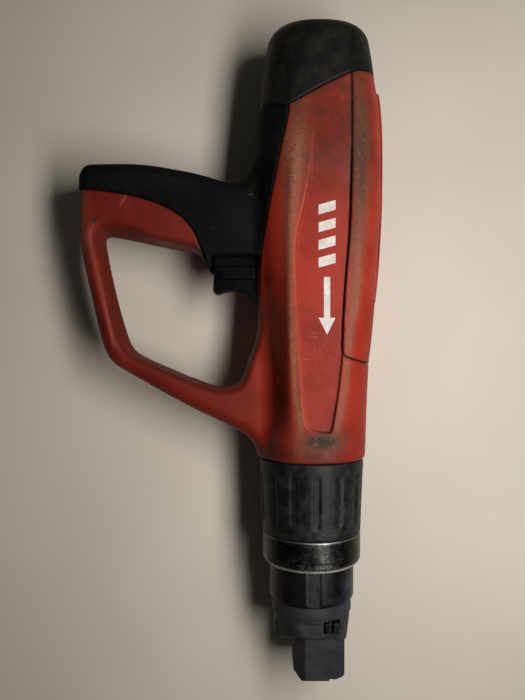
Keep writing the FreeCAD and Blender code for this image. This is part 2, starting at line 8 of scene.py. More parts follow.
import bmesh
import bpy
import numpy as np
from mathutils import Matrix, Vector


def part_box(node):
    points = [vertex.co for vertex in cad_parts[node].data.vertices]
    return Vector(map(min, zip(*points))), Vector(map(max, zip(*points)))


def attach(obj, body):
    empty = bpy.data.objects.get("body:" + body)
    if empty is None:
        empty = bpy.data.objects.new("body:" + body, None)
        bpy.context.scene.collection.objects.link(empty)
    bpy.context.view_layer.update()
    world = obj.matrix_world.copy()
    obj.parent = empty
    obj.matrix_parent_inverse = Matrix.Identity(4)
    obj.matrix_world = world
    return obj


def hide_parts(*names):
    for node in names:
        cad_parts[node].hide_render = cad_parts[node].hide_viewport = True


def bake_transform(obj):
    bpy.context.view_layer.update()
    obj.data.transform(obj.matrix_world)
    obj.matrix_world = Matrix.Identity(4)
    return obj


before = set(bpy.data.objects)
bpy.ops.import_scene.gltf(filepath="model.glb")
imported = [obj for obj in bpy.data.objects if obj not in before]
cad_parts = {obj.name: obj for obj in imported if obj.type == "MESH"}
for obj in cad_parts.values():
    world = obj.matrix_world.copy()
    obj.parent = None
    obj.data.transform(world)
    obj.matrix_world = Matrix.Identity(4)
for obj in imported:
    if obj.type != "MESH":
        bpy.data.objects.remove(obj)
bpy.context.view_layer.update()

# ---- the tool's frame: one millimetre, and its origin in metres ----
MM = 0.001
RECEIVER_LOW, RECEIVER_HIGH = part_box("receiver_tube")
AXIS = (RECEIVER_LOW + RECEIVER_HIGH) / 2
ORIGIN = np.array([AXIS.x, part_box("housing_right")[0].y, AXIS.z])


def node_box(node):
    """Lowest and highest corner of a CAD node in the tool's frame."""
    return [(np.array(corner) - ORIGIN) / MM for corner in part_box(node)]


# ---- driving dimensions, in millimetres ----
MUZZLE_Y = node_box("nose_block")[0][1]
REAR_Y = node_box("rear_cap")[1][1]
FLANK_Z = 36.0
RIDGE_Z = 37.4
PANEL_Z = 34.1
WALL = 3.2
BODY_WALL = WALL + 1.7
SEAM = 0.16
SEAM_ROUND = 0.7
COS_45 = 0.5 ** 0.5
GRID = 0.95
FINE_GRID = 0.45

STRIP_Y = (165.7, 178.3)
STRIP_HALF_Z = 4.6
ENTRY_X = (-170, -151.5)
ENTRY_RIM = 2.8
ENTRY_HALF_Z = 7.6


# ---- distance fields ----
def smooth_min(a, b, k):
    """Union of two fields with a fillet of about k between them."""
    h = np.clip(0.5 + 0.5 * (b - a) / k, 0, 1)
    return b + (a - b) * h - k * h * (1 - h)


def smooth_max(a, b, k):
    return -smooth_min(-a, -b, k)


def round_max(a, b, radius):
    """Intersection of two fields whose shared edge is rounded."""
    corner = np.sqrt(np.maximum(a + radius, 0) ** 2 + np.maximum(b + radius, 0) ** 2)
    return np.minimum(np.maximum(a, b), -radius) + corner


def cut(shape, tool, radius):
    """A shape less a tool, with the edge of the cut rounded."""
    return round_max(shape, -tool, radius)


def step(value, low, high):
    """0 up to low, 1 from high on, smooth between them."""
    t = np.clip((value - low) / (high - low), 0, 1)
    return t * t * (3 - 2 * t)


def bump(value, centre, width):
    """A bell curve, 1 at its centre."""
    return np.exp(-(((value - centre) / width) ** 2))


def curve(y, points):
    """A smooth curve through (y, value) points, with no overshoot between them."""
    at = np.array([p[0] for p in points], float)
    value = np.array([p[1] for p in points], float)
    slope = np.diff(value) / np.diff(at)
    same_way = slope[1:] * slope[:-1]
    inner = np.where(same_way > 0, 2 * same_way / (slope[1:] + slope[:-1] + 1e-12), 0)
    tangent = np.concatenate([slope[:1], inner, slope[-1:]])
    y = np.clip(y, at[0], at[-1])
    i = np.clip(np.searchsorted(at, y) - 1, 0, len(at) - 2)
    span = at[i + 1] - at[i]
    t = (y - at[i]) / span
    low = value[i] * (1 + 2 * t) * (1 - t) ** 2 + span * tangent[i] * t * (1 - t) ** 2
    return low + value[i + 1] * t * t * (3 - 2 * t) + span * tangent[i + 1] * t * t * (t - 1)


def softened(points, rounds=3, closed=True):
    """Corner cutting: the same outline with its corners rounded a little more each round."""
    points = np.array(points, float)
    for _ in range(rounds):
        after = np.roll(points, -1, axis=0)
        pairs = np.stack([0.75 * points + 0.25 * after, 0.25 * points + 0.75 * after], axis=1)
        if not closed:
            first, last = points[:1, None].repeat(2, 1), points[-1:, None].repeat(2, 1)
            pairs = np.concatenate([first, pairs[:-1], last])
        points = pairs.reshape(-1, 2)
    return points


def outline_distance(x, y, points):
    """Signed distance in the XY plane to a closed outline."""
    nearest = np.full(x.shape, 1e9, np.float32)
    inside = np.zeros(x.shape, bool)
    for (ax, ay), (bx, by) in zip(points, np.roll(points, -1, axis=0)):
        ex, ey = bx - ax, by - ay
        along = max(ex * ex + ey * ey, 1e-9)
        t = np.clip(((x - ax) * ex + (y - ay) * ey) / along, 0, 1)
        nearest = np.minimum(nearest, (x - ax - t * ex) ** 2 + (y - ay - t * ey) ** 2)
        if ay != by:
            inside ^= ((ay > y) != (by > y)) & (x < ex * (y - ay) / ey + ax)
    return np.where(inside, -1, 1) * np.sqrt(nearest)


class Outline:
    """Signed distance to a closed outline, looked up in a table that covers the whole tool."""

    LOW = np.array([-172.0, -12.0])
    HIGH = np.array([62.0, 306.0])
    PITCH = 0.7

    def __init__(self, points):
        x = np.arange(self.LOW[0], self.HIGH[0], self.PITCH, np.float32)
        y = np.arange(self.LOW[1], self.HIGH[1], self.PITCH, np.float32)
        grid = np.meshgrid(x, y, indexing="ij")
        self.table = outline_distance(*grid, np.array(points, np.float32)).astype(np.float32)

    def __call__(self, x, y):
        u = np.clip((x - self.LOW[0]) / self.PITCH, 0, self.table.shape[0] - 1.001)
        v = np.clip((y - self.LOW[1]) / self.PITCH, 0, self.table.shape[1] - 1.001)
        i, j = u.astype(np.int32), v.astype(np.int32)
        u, v = u - i, v - j
        low = self.table[i, j] * (1 - v) + self.table[i, j + 1] * v
        high = self.table[i + 1, j] * (1 - v) + self.table[i + 1, j + 1] * v
        return low * (1 - u) + high * u


def slab(value, low, high):
    """Signed distance to the space between two planes."""
    return np.maximum(low - value, value - high)


def box_field(x, y, z, x_range, y_range, z_range, radius=0.0):
    """A box, with rounded edges where a radius is given."""
    def join(a, b):
        return round_max(a, b, radius) if radius else np.maximum(a, b)
    return join(join(slab(x, *x_range), slab(y, *y_range)), slab(z, *z_range))


# ---- fields to meshes ----
def crossings(values, axis):
    """Grid edges along axis that the surface crosses: their low corners, fractions and direction."""
    low = [slice(None)] * 3
    high = [slice(None)] * 3
    low[axis] = slice(None, -1)
    high[axis] = slice(1, None)
    a, b = values[tuple(low)], values[tuple(high)]
    where = np.argwhere((a < 0) != (b < 0))
    first = a[tuple(where.T)]
    second = b[tuple(where.T)]
    return where, first / (first - second), first < 0


def net(values):
    """Surface net of a grid of field values: vertex places in grid units, and quads."""
    inside = (values < 0).astype(np.int8)
    count = sum(inside[i:inside.shape[0] - 1 + i, j:inside.shape[1] - 1 + j, k:inside.shape[2] - 1 + k]
                for i in (0, 1) for j in (0, 1) for k in (0, 1))
    active = (count > 0) & (count < 8)
    cell = np.full(active.shape, -1, np.int32)
    cell[active] = np.arange(int(active.sum()))
    total = np.zeros((int(active.sum()), 3))
    hits = np.zeros(len(total))
    quads = []
    for axis in range(3):
        where, fraction, leaving = crossings(values, axis)
        places = where.astype(float)
        places[:, axis] += fraction
        u, v = (axis + 1) % 3, (axis + 2) % 3
        corners = []
        for du, dv in ((1, 1), (0, 1), (0, 0), (1, 0)):
            at = where.copy()
            at[:, u] -= du
            at[:, v] -= dv
            corners.append(cell[tuple(at.T)])
        quad = np.stack(corners, axis=1)
        for column in quad.T:
            for c in range(3):
                total[:, c] += np.bincount(column, places[:, c], len(total))
            hits += np.bincount(column, minlength=len(total))
        quads.append(np.where(leaving[:, None], quad, quad[:, ::-1]))
    return total / hits[:, None], np.concatenate(quads)


def gradient(field, points, reach=0.12):
    result = np.empty_like(points)
    for axis in range(3):
        ahead = points.copy()
        behind = points.copy()
        ahead[:, axis] += reach
        behind[:, axis] -= reach
        result[:, axis] = (field(*ahead.T) - field(*behind.T)) / (2 * reach)
    return result


def settle(field, points, grid):
    """Moves the points of a net onto the surface itself."""
    for _ in range(2):
        slope = gradient(field, points)
        shift = slope * (field(*points.T) / np.maximum((slope ** 2).sum(1), 0.2))[:, None]
        points = (points - np.clip(shift, -grid / 3, grid / 3)).astype(np.float32)
    return points


def add(name, data):
    """A new object in the scene."""
    obj = bpy.data.objects.new(name, data)
    bpy.context.scene.collection.objects.link(obj)
    return obj


def mesh_object(name, points_mm, faces):
    """A smooth-shaded object from points in the tool's frame and faces with one number of corners."""
    mesh = bpy.data.meshes.new(name)
    faces = np.asarray(faces, np.int32)
    corners = faces.shape[1]
    mesh.vertices.add(len(points_mm))
    mesh.vertices.foreach_set("co", (ORIGIN + np.asarray(points_mm) * MM).astype(np.float32).ravel())
    mesh.loops.add(faces.size)
    mesh.loops.foreach_set("vertex_index", faces.ravel())
    mesh.polygons.add(len(faces))
    mesh.polygons.foreach_set("loop_start", np.arange(len(faces), dtype=np.int32) * corners)
    mesh.polygons.foreach_set("use_smooth", np.ones(len(faces), bool))
    mesh.update(calc_edges=True)
    mesh.validate()
    return add(name, mesh)


def moulded(name, field, low, high, grid):
    """The mesh of a field within a box. The box is larger than the shape."""
    axes = [np.arange(a, b + grid, grid, np.float32) for a, b in zip(low, high)]
    values = field(axes[0][:, None, None], axes[1][None, :, None], axes[2][None, None, :])
    values = np.array(np.broadcast_to(values, [len(a) for a in axes]), np.float32)
    places, quads = net(values)
    points = (np.array(low) + places * grid).astype(np.float32)
    points = settle(field, points, grid)
    return mesh_object(name, points, quads)


def tool_points(obj):
    flat = np.empty(len(obj.data.vertices) * 3, np.float32)
    obj.data.vertices.foreach_get("co", flat)
    return (flat.reshape(-1, 3).astype(float) - ORIGIN) / MM


def paint(obj, name, values):
    """Stores one number per vertex, which a material reads by name."""
    layer = obj.data.attributes.new(name, "FLOAT", "POINT")
    layer.data.foreach_set("value", np.clip(values, 0, 1).astype(np.float32))


# ---- the moulded shell ----
SPINE = (
    (-20, 35.8), (0, 36.0), (4, 36.6), (33, 36.9), (64.5, 37.8), (81, 39.4), (102.5, 41.2), (122, 42.2),
    (143, 43.4), (178, 44.9), (206, 44.9), (238, 43.4), (250, 41.4), (268, 39.6), (283, 37.7), (300, 35.4),
)
BELLY = (
    (-20, -36.2), (0, -36.6), (4, -37.2), (81, -36.9), (107, -36.7), (180, -36.8), (205, -38.6),
    (219, -38.1), (229, -37.0), (238, -35.4), (260, -33.4), (274, -31.4), (283, -29.6), (300, -26.5),
)
HALF_Z = (
    (-20, 36.3), (0, 36.7), (4, 37.0), (33, 36.8), (81, 36.3), (122, FLANK_Z), (246, FLANK_Z), (268, 35.2),
    (283, 33.8), (300, 31.0),
)
LOW_ROUND = ((0, 36.5), (20, 35.0), (50, 31.0), (100, 28.0), (250, 28.0), (280, 30.0))
HIGH_ROUND = ((0, 36.3), (20, 33.5), (50, 29.0), (100, 24.0), (178, 22.0), (250, 23.0), (280, 27.0))
RIB_X = (
    (104, 43.4), (122.5, 45.4), (143, 46.9), (178, 48.4), (205, 48.6), (219, 48.4), (238, 47.3),
    (248, 46.0),
)
RIB_Y = (105.5, 247.3)
RIB_HALF_Z = 11.0
RIB_ROOT_X = 30
RIB_CROWN_R = 40.0
DOME_X = 3.0
DOME_R = 140.0
DOME_Z_STRETCH = 1.42
FRONT_EDGE_Y = 1.4
RIDGE_HEIGHTS = (2.15, 1.7)
RECEIVER_HOLE_R = 26.4
RECEIVER_HOLE_Y = (-5, 205)
HANDLE_HALF_Z = 14.2
GRIP_SWELL = 3.0
HANDLE_ROUND = 9.5
GAP_ROUND = 3.4
WEB_FILLET = 6.0
TRIGGER_X = (-67.4, -37.5)
TRIGGER_HALF_Z = 9.0
TRIGGER_GAP = 0.3
FLANK_FOOT = (
    (0, -20), (14, -18), (30, -14.6), (42, -14.6), (74, -16.8), (106, -18.6), (131, -19.2), (156, -20.8),
    (188, -21.6), (215, -24), (250, -30),
)
FLANK_TILT = ((0, 57), (100, 57), (131, 49), (156, 39), (190, 24), (215, 12), (250, 8))

HANDLE = (
    (-10, 205), (-30, 205), (-39, 201.8), (-41.6, 196), (-44.5, 190.2), (-49.5, 187.3), (-58.8, 187.6),
    (-68.9, 191), (-82.3, 194.6), (-95.7, 196.9), (-109, 199.2), (-122.6, 200.2), (-142.7, 200.0),
    (-153.6, 199.6), (-157.6, 193.2), (-157.95, 187), (-157.95, 165), (-157.6, 148), (-155.2, 133),
    (-151.0, 114.5), (-147.6, 99.4), (-143.9, 84.0), (-140.2, 72.3), (-135.2, 65.2), (-127.2, 60.0),
    (-113.4, 52.5), (-103.1, 46.3), (-76.0, 32.1), (-62, 25.7), (-48.8, 19.2), (-41, 13.4), (-36.6, 5),
    (-20, 2), (-10, 2),
)
GAP = (
    (-140.8, 147), (-139.4, 139), (-137.1, 127), (-132.3, 106), (-128.0, 91.0), (-124.4, 79.8),
    (-121.0, 74.2), (-115.6, 70.5), (-104.2, 65.1), (-91.4, 59.9), (-77.3, 53.6), (-66.8, 49.8),
    (-61.5, 48.8), (-56, 49.4), (-51.2, 51.4), (-48.4, 54.4), (-46.4, 60), (-44.4, 67), (-41.6, 74),
    (-39.4, 80), (-37.2, 88), (-36.5, 96), (-36.3, 115), (-36.3, 136), (-36.8, 137), (-52, 137),
    (-66.6, 137), (-67.6, 136), (-67.9, 124.5), (-69.0, 124.4), (-73.5, 135.5), (-78, 140.0), (-92, 142.4),
    (-107.6, 145.6), (-127.5, 149.8), (-140.4, 152.0),
)
CAP_SEAM = (
    (-70, 236.6), (-36, 235.4), (-30, 233.8), (-25, 232.6), (-18, 230.2), (3, 242), (22, 251.2),
    (28, 253.2), (34, 254.4), (44, 256.2), (70, 260),
)
GRIP_BODY_EDGE = ((-17, 226), (-18.5, 219), (-22.3, 203), (-26, 184), (-28.7, 172), (-31, 160), (-33.3, 148),
                  (-35, 136), (-36.2, 118), (-36.6, 112))
GRIP_EDGE = ((-66.5, 121), (-69.8, 128.7), (-73.8, 139.3), (-78.4, 151.9), (-85, 161.2), (-95, 168.2),
             (-108.3, 173.8), (-121.6, 177.5), (-141.5, 180.4), (-175, 183.5))
COVER_EDGE = ((17.6, 90), (18.6, 109), (20.1, 128), (21.7, 147), (22.8, 170), (23.2, 200))
COVER_SEAM = (
    (70, 57), (38.5, 64.5), (22, 68.9), (18.8, 70.2), (16.9, 73), *COVER_EDGE, (23.2, 300), (70, 300),
)
PANEL = (
    (-1, 240), (-1.5, 215), (-3.2, 200), (-5.3, 182), (-9.1, 164.5), (-12.9, 149), (-13.8, 138),
    (-13.2, 119), (-11.7, 93), (-10.4, 68), (-9.1, 49), (-7.4, 31), (-6.2, 25.6), (-2.1, 22.8), (3, 21.8),
    (9.6, 21.0), (10.8, 23), (12.3, 31), (15.1, 48.8), (17.0, 66), (17.3, 73), *COVER_EDGE, (23.2, 240),
)


def body_base(x, y, z):
    """The long barrel of the housing with its chamfered left flank edges and domed rear end."""
    low, high, half = curve(y, BELLY), curve(y, SPINE), curve(y, HALF_Z)
    across = x - (low + high) / 2
    radius = curve(y, LOW_ROUND) + (curve(y, HIGH_ROUND) - curve(y, LOW_ROUND)) * step(across, -8, 8)
    radius = np.minimum(radius, half - 0.2)
    u = np.abs(across) - (high - low) / 2 + radius
    v = np.abs(z) - half + radius
    ring = np.minimum(np.maximum(u, v), 0) + np.sqrt(np.maximum(u, 0) ** 2 + np.maximum(v, 0) ** 2) - radius
    tilt = np.radians(curve(y, FLANK_TILT))
    chamfer = (curve(y, FLANK_FOOT) - x) * np.sin(tilt) + (np.abs(z) - FLANK_Z - 0.6) * np.cos(tilt)
    ring = round_max(ring, chamfer, 5.0)
    past_centre = np.maximum(y - REAR_Y + DOME_R, 0)
    dome = np.sqrt((x - DOME_X) ** 2 + past_centre ** 2 + (z * DOME_Z_STRETCH) ** 2) - DOME_R
    return round_max(round_max(ring, dome, 9.0), FRONT_EDGE_Y - y, 1.4)


def handle_base(x, y, z):
    """The closed handle, a rounded plate that is thicker at the grip, and the distance to its finger gap."""
    gap = gap_outline(x, y)
    in_grip = step(y + 0.18 * (x + 100), 118, 168)
    half = HANDLE_HALF_Z + GRIP_SWELL * in_grip
    plate = round_max(handle_outline(x, y), np.abs(z) - half, HANDLE_ROUND)
    slant = 0.24 + 0.26 * step(-x, 104, 128) * step(y, 60, 84)
    opening = (gap - slant * np.abs(z)) / np.sqrt(1 + slant * slant)
    near_trigger = step(x, -84, -70) * step(y, 96, 118)
    opening = opening + (gap - opening) * near_trigger
    return round_max(plate, -np.maximum(opening, slab(y, 0, 160)), GAP_ROUND), gap


def shell_outside(x, y, z):
    """Outer surface of the whole shell with its raised and recessed details."""
    body = body_base(x, y, z)
    flank = step(np.abs(z), 18, 28)
    left = np.interp(y, (15, 40, 180, 215), (0, 1, 1, 0)) * bump(x, -16.2 + 2.2 * step(y, 150, 205), 3.4)
    right = np.interp(y, (92, 118, 232, 258), (0, 1, 1, 0)) * bump(x, 28.2, 4.6)
    body = body - flank * (RIDGE_HEIGHTS[0] * left + RIDGE_HEIGHTS[1] * right)
    body = round_max(body, np.abs(z) - RIDGE_Z, 0.8)
    rib = round_max(x - curve(y, RIB_X) + z * z / (2 * RIB_CROWN_R), slab(y, *RIB_Y), 1.3)
    rib = round_max(rib, np.maximum(np.abs(z) - RIB_HALF_Z, RIB_ROOT_X - x), 1.6)
    body = smooth_min(body, rib, 0.9)
    floor = PANEL_Z + 3.6 * step(y, 178, 222)
    slant = np.interp(y, (60, 165), (0.36, 0.75)) * step(-x, -6, 2)
    wall = (panel_outline(x, y) + slant * (RIDGE_Z - np.abs(z))) / np.sqrt(1 + slant * slant)
    body = cut(body, np.maximum(wall * 0.9, floor - np.abs(z)), 0.7)
    handle, gap = handle_base(x, y, z)
    joined = smooth_min(body, handle, WEB_FILLET)
    return round_max(joined, -np.maximum(gap, slab(y, 60, 160) - 4), 1.5)


def shell_inside(x, y, z):
    """The hollow inside the shell, with the bore for the receiver."""
    handle, _ = handle_base(x, y, z)
    inner = np.minimum(body_base(x, y, z) + BODY_WALL, handle + WALL)
    receiver = np.maximum(np.sqrt(x * x + z * z) - RECEIVER_HOLE_R, slab(y, *RECEIVER_HOLE_Y))
    return np.minimum(inner, receiver)


def shell(x, y, z):
    """The moulded shell, hollow, with the holes for the trigger and the cartridge strip."""
    solid = round_max(shell_outside(x, y, z), -shell_inside(x, y, z), 0.2)
    half = TRIGGER_HALF_Z + TRIGGER_GAP
    trigger_x = (TRIGGER_X[0] - TRIGGER_GAP - 0.05, TRIGGER_X[1] + TRIGGER_GAP)
    trigger_hole = box_field(x, y, z, trigger_x, (128, 150), (-half, half))
    entry_y = (STRIP_Y[0] - ENTRY_RIM, STRIP_Y[1] + ENTRY_RIM)
    entry = box_field(x, y, z, ENTRY_X, entry_y, (-ENTRY_HALF_Z, ENTRY_HALF_Z))
    way = box_field(x, y, z, (ENTRY_X[0], 60), STRIP_Y, (-STRIP_HALF_Z, STRIP_HALF_Z))
    solid = cut(solid, trigger_hole, 0.5)
    return cut(cut(solid, entry, 0.3), way, 0.4)


handle_outline = Outline(softened(HANDLE, 2))
gap_outline = Outline(softened(GAP, 2))
panel_outline = Outline(softened(PANEL, 2))
before_cap = Outline(np.concatenate([softened(CAP_SEAM, 2, False),
                                     [[70, -300], [-300, -300], [-300, 236.6]]]))
in_grip_shell = Outline(np.concatenate([softened(GRIP_BODY_EDGE, 2, False), [[-36.6, 104], [-62, 104]],
                                        softened(GRIP_EDGE, 2, False), [[-175, 260], [-17, 260]]]))
in_cover = Outline(softened(COVER_SEAM, 2))


def middle_of(node):
    """Centre of a control on the left flank, and its radius."""
    low, high = node_box(node)
    x, y, _ = ((low + high) / 2).tolist()
    return x, y, float(high[0] - low[0]) / 2


# node, gap round the control and depth of the well's floor
CONTROL_WELLS = (("power_wheel", 0.4, 28.6), ("power_button", 0.35, 29.6), ("release_button", 0.35, 29.6))
WELL_WALL = 1.8
SCREWS = ((-150.5, 157, 12), (-62, 37, 12), (-30.5, 14, 17), (30.5, 14, 17), (36, 222, 26), (-28, 222, 22))
SCREW_HEAD = 2.5
SCREW_HOLE_R = 3.35
SCREW_BOSS_R = 5.2


def control_wells(half, x, y, z):
    """Closed cups for the power wheel, its button and the release button."""
    for node, gap, floor in CONTROL_WELLS:
        cx, cy, radius = middle_of(node)
        past_rim = np.hypot(x - cx, y - cy) - radius - gap
        cup = np.maximum(past_rim - WELL_WALL, slab(z, 0.4 - PANEL_Z, WELL_WALL - floor))
        half = cut(np.minimum(half, cup), np.maximum(past_rim, z + floor), 0.5)
    return half


def screw_seats(half, x, y, z):
    """Bosses with counterbores for the screws, on the left side only."""
    for cx, cy, seat in SCREWS:
        away = np.hypot(x - cx, y - cy)
        boss = round_max(away - SCREW_BOSS_R, slab(z, -seat - SCREW_HEAD - 0.3, 2.4 - seat), 0.8)
        half = smooth_min(half, boss, 0.8)
        half = cut(half, np.maximum(away - SCREW_HOLE_R, z + seat), 0.4)
    return half


def red_field(side):
    """One red housing half: what the cap, the grip shell and the cover leave."""
    def field(x, y, z):
        region = np.maximum(-in_grip_shell(x, y), -in_cover(x, y))
        region = np.maximum(region, before_cap(x, y)) + SEAM
        half = shell(x, y, z)
        if side < 0:
            half = screw_seats(control_wells(half, x, y, z), x, y, z)
        return round_max(round_max(half, region, SEAM_ROUND), SEAM / 2 - side * z, 0.5)
    return field


def cap_field(x, y, z):
    return round_max(shell(x, y, z), SEAM - before_cap(x, y), SEAM_ROUND)


def shell_part(outline):
    """The grip shell or the cover: what lies within its outline and in front of the cap."""
    def field(x, y, z):
        region = np.maximum(outline(x, y), before_cap(x, y)) + SEAM
        return round_max(screw_seats(shell(x, y, z), x, y, z), region, SEAM_ROUND)
    return field


# ---- turned pieces ----
def rounded(points, radius):
    """A closed profile of (radius, y) points with each corner rounded."""
    points = np.array(points, float)
    result = []
    for before, corner, after in zip(np.roll(points, 1, axis=0), points, np.roll(points, -1, axis=0)):
        to_before = before - corner
        to_after = after - corner
        reach = min(radius, np.linalg.norm(to_before) * 0.45, np.linalg.norm(to_after) * 0.45)
        start = corner + to_before / np.linalg.norm(to_before) * reach
        end = corner + to_after / np.linalg.norm(to_after) * reach
        for t in (0, 0.25, 0.5, 0.75, 1):
            result.append((1 - t) ** 2 * start + 2 * t * (1 - t) * corner + t * t * end)
    return np.array(result)


def spaced(points, longest):
    """The same closed profile with its long edges divided."""
    result = []
    for a, b in zip(points, np.roll(points, -1, axis=0)):
        parts = max(1, int(np.ceil(np.linalg.norm(b - a) / longest)))
        result += [a + (b - a) * i / parts for i in range(parts)]
    return np.array(result)


def lathe(name, profile, segments=160, shape=None):
    """A closed solid turned about the shooting axis. shape(turn, radius, y) may change the radius."""
    turn = np.arange(segments) * 2 * np.pi / segments
    radius = profile[:, 0][:, None] + np.zeros(segments)
    y = profile[:, 1][:, None] + np.zeros(segments)
    if shape:
        radius = shape(turn[None, :], radius, y)
    points = np.stack([radius * np.sin(turn), y, radius * np.cos(turn)], axis=-1).reshape(-1, 3)
    ring = np.arange(len(profile))
    a = ring[:, None] * segments + np.arange(segments)
    b = ring[:, None] * segments + (np.arange(segments) + 1) % segments
    c = np.roll(ring, -1)[:, None] * segments + (np.arange(segments) + 1) % segments
    d = np.roll(ring, -1)[:, None] * segments + np.arange(segments)
    faces = np.stack([a, b, c, d], axis=-1).reshape(-1, 4)
    return mesh_object(name, points, faces)


COLLAR_REAR_R = 35.5
COLLAR_FRONT_R = 33.5
COLLAR_BORE = 30.0
COLLAR_Y = (-49.2, FRONT_EDGE_Y - 0.4)
FLUTES = 14
FLUTE_Y = (-38.4, -9.4)
FLUTE_HALF = 3.1
FLUTE_DEPTH = 0.95
FLUTE_PHASE = 0.42
RING_Y = (-70.0, -49.4)
ADAPTER_R = 28.8
ADAPTER_Y = (-93.0, -52.0)
ADAPTER_BORE = 22.8
LAND_TURN = -0.01
LAND_DEPTH = 0.75
HEAD_R = ((-126, 24.9), (-118, 25.5), (-105, 26.9), (-100, 27.1), (-94, 26.8))
HEAD_Y = (-121.2, -94.0)
LEDGE_Y = -102.6
LEDGE_DEPTH = 0.75
LUG = ((-26.5, -19.5), (-120.0, -107.5), (-9.0, 9.0))
HEAD_LAND_Z = 23.9
LATCH_WINDOW = ((6.4, 17.6), (-111.6, -103.4), (16, 40))
NOSE_CENTRE_X = 4.5
NOSE_HALF = 17.35
NOSE_CORNER = 7.0
NOSE_REAR_Y = -116
NOSE_BORE_R = 9.05
MUZZLE_SINK_R = 10.0
NOTCH_X = 11.4
NOTCH_Z = 8


def flutes(turn, radius, y):
    """Shallow grooves with round ends, on the outer face only."""
    pitch = 2 * np.pi / FLUTES
    aside = ((turn + FLUTE_PHASE * pitch) % pitch - pitch / 2) * radius
    past_end = np.maximum(np.maximum(FLUTE_Y[0] - y, y - FLUTE_Y[1]), 0)
    away = np.sqrt(aside ** 2 + past_end ** 2)
    groove = FLUTE_DEPTH * (1 - step(away, FLUTE_HALF - 1.9, FLUTE_HALF + 0.3))
    return np.where(radius > COLLAR_FRONT_R - 0.6, radius - groove, radius)


def make_collar():
    front, rear = COLLAR_Y
    corners = [(COLLAR_BORE, rear), (COLLAR_BORE, front), (COLLAR_FRONT_R, front),
               (COLLAR_REAR_R, rear - 4), (COLLAR_REAR_R - 0.2, rear)]
    profile = spaced(rounded(corners, 1.6), 1.2)
    return lathe("fluted_collar", profile, FLUTES * 26, flutes)


def make_ring():
    front, rear = RING_Y
    bore, outer = ADAPTER_R + 0.3, COLLAR_FRONT_R
    corners = [(bore, rear), (bore, front), (outer - 2.6, front), (outer - 0.1, front + 3.2),
               (outer - 0.1, front + 6.5), (outer, front + 7.0), (outer, rear - 1.2), (outer - 0.5, rear)]
    return lathe("worn_ring", spaced(rounded(corners, 0.8), 2.0), 200)


def from_land(turn):
    """Angle from the middle of the adapter's flat land."""
    return (turn - LAND_TURN + np.pi) % (2 * np.pi) - np.pi


def band(turn, radius, y):
    """A flat lengthwise land on the adapter's upper side."""
    aside = from_land(turn)
    flat = (ADAPTER_R - LAND_DEPTH) / np.cos(np.clip(aside, -0.2, 0.2))
    inside = step(np.abs(aside), 0.175, 0.155)
    return np.where(radius > ADAPTER_R - 1.5, radius + (np.minimum(radius, flat) - radius) * inside, radius)


def make_adapter():
    front, rear = ADAPTER_Y
    bore, outer = ADAPTER_BORE, ADAPTER_R
    corners = [(bore, rear), (bore, front), (outer - 0.4, front), (outer, front + 1.5), (outer, rear)]
    return lathe("adapter", spaced(rounded(corners, 0.8), 3.0), 280, band)


def head_field(x, y, z):
    """Head of the front unit: a tapering round body with a ledge, a latch window and side shoulders."""
    away = np.sqrt(x * x + z * z)
    ledge_y = LEDGE_Y + 0.9 * step(z, 4, 26)
    body = away - curve(y, HEAD_R) + LEDGE_DEPTH * step(ledge_y - y, -0.25, 0.25)
    front = HEAD_Y[0] - 2.6 * step(x, 12, 20)
    body = round_max(body, (front - y + 0.30 * np.maximum(np.abs(z) - 4, 0)) / 1.04, 2.4)
    body = round_max(body, y - HEAD_Y[1] + 0.15, 0.7)
    lug = box_field(x, y, z, *LUG, 1.2)
    body = smooth_min(body, round_max(lug, away - 26.3, 0.5), 0.6)
    left_chamfer = (-143.1 - x - y) * COS_45
    right_chamfer = 0.883 * x - 0.468 * y - 77.8
    body = round_max(round_max(body, left_chamfer, 1.0), right_chamfer, 1.2)
    land = np.maximum(slab(y, -128, -104.6), HEAD_LAND_Z - z)
    body = cut(body, np.maximum(land, np.abs(x - 2.6) - 15.2), 0.7)
    body = cut(body, box_field(x, y, z, *LATCH_WINDOW, 0.4), 0.35)
    body = cut(body, away - NOSE_BORE_R - 0.05, 0.3)
    return cut(body, nose_outer(x, y, z) - 0.05, 0.1)


def nose_outer(x, y, z):
    """The square nose before its bore and notches: bevelled corners and a narrower front."""
    across = np.abs(x - NOSE_CENTRE_X)
    up = np.abs(z)
    bevel = (across + up - 2 * NOSE_HALF + NOSE_CORNER) * COS_45
    sides = round_max(round_max(across - NOSE_HALF, up - NOSE_HALF, 0.6), bevel, 0.8)
    past_muzzle = y - MUZZLE_Y
    flat_half = 9.9 + 3.0 * step(x - NOSE_CENTRE_X, 2, 9)
    side_lead = (across - flat_half - past_muzzle) * COS_45
    face_lead = ((up - 10.8) * 0.5 - past_muzzle) * 0.894
    lead = round_max(side_lead, face_lead, 0.6)
    return round_max(round_max(sides, lead, 0.7), 0.05 - past_muzzle, 0.7)


def nose_field(x, y, z):
    """Square nose with its bore, a countersunk muzzle and two small notches."""
    behind = y - MUZZLE_Y
    body = round_max(nose_outer(x, y, z), y - NOSE_REAR_Y, 0.5)
    step_cut = np.maximum(np.maximum(NOTCH_X - x, behind - 4.6 + 0.15 * (x - NOTCH_X)), NOTCH_Z - z)
    notch = np.maximum(np.sqrt((x - NOTCH_X) ** 2 + (behind - 2.6) ** 2) - 1.5, NOTCH_Z - z)
    side_notch = np.maximum(np.sqrt((x + 12.2) ** 2 + (behind - 5.6) ** 2) - 1.1, -z)
    body = cut(cut(cut(body, step_cut, 0.4), notch, 0.3), side_notch, 0.3)
    away = np.sqrt(x * x + z * z)
    return cut(cut(body, away - NOSE_BORE_R, 0.3), away - MUZZLE_SINK_R + np.maximum(behind, 0), 0.3)


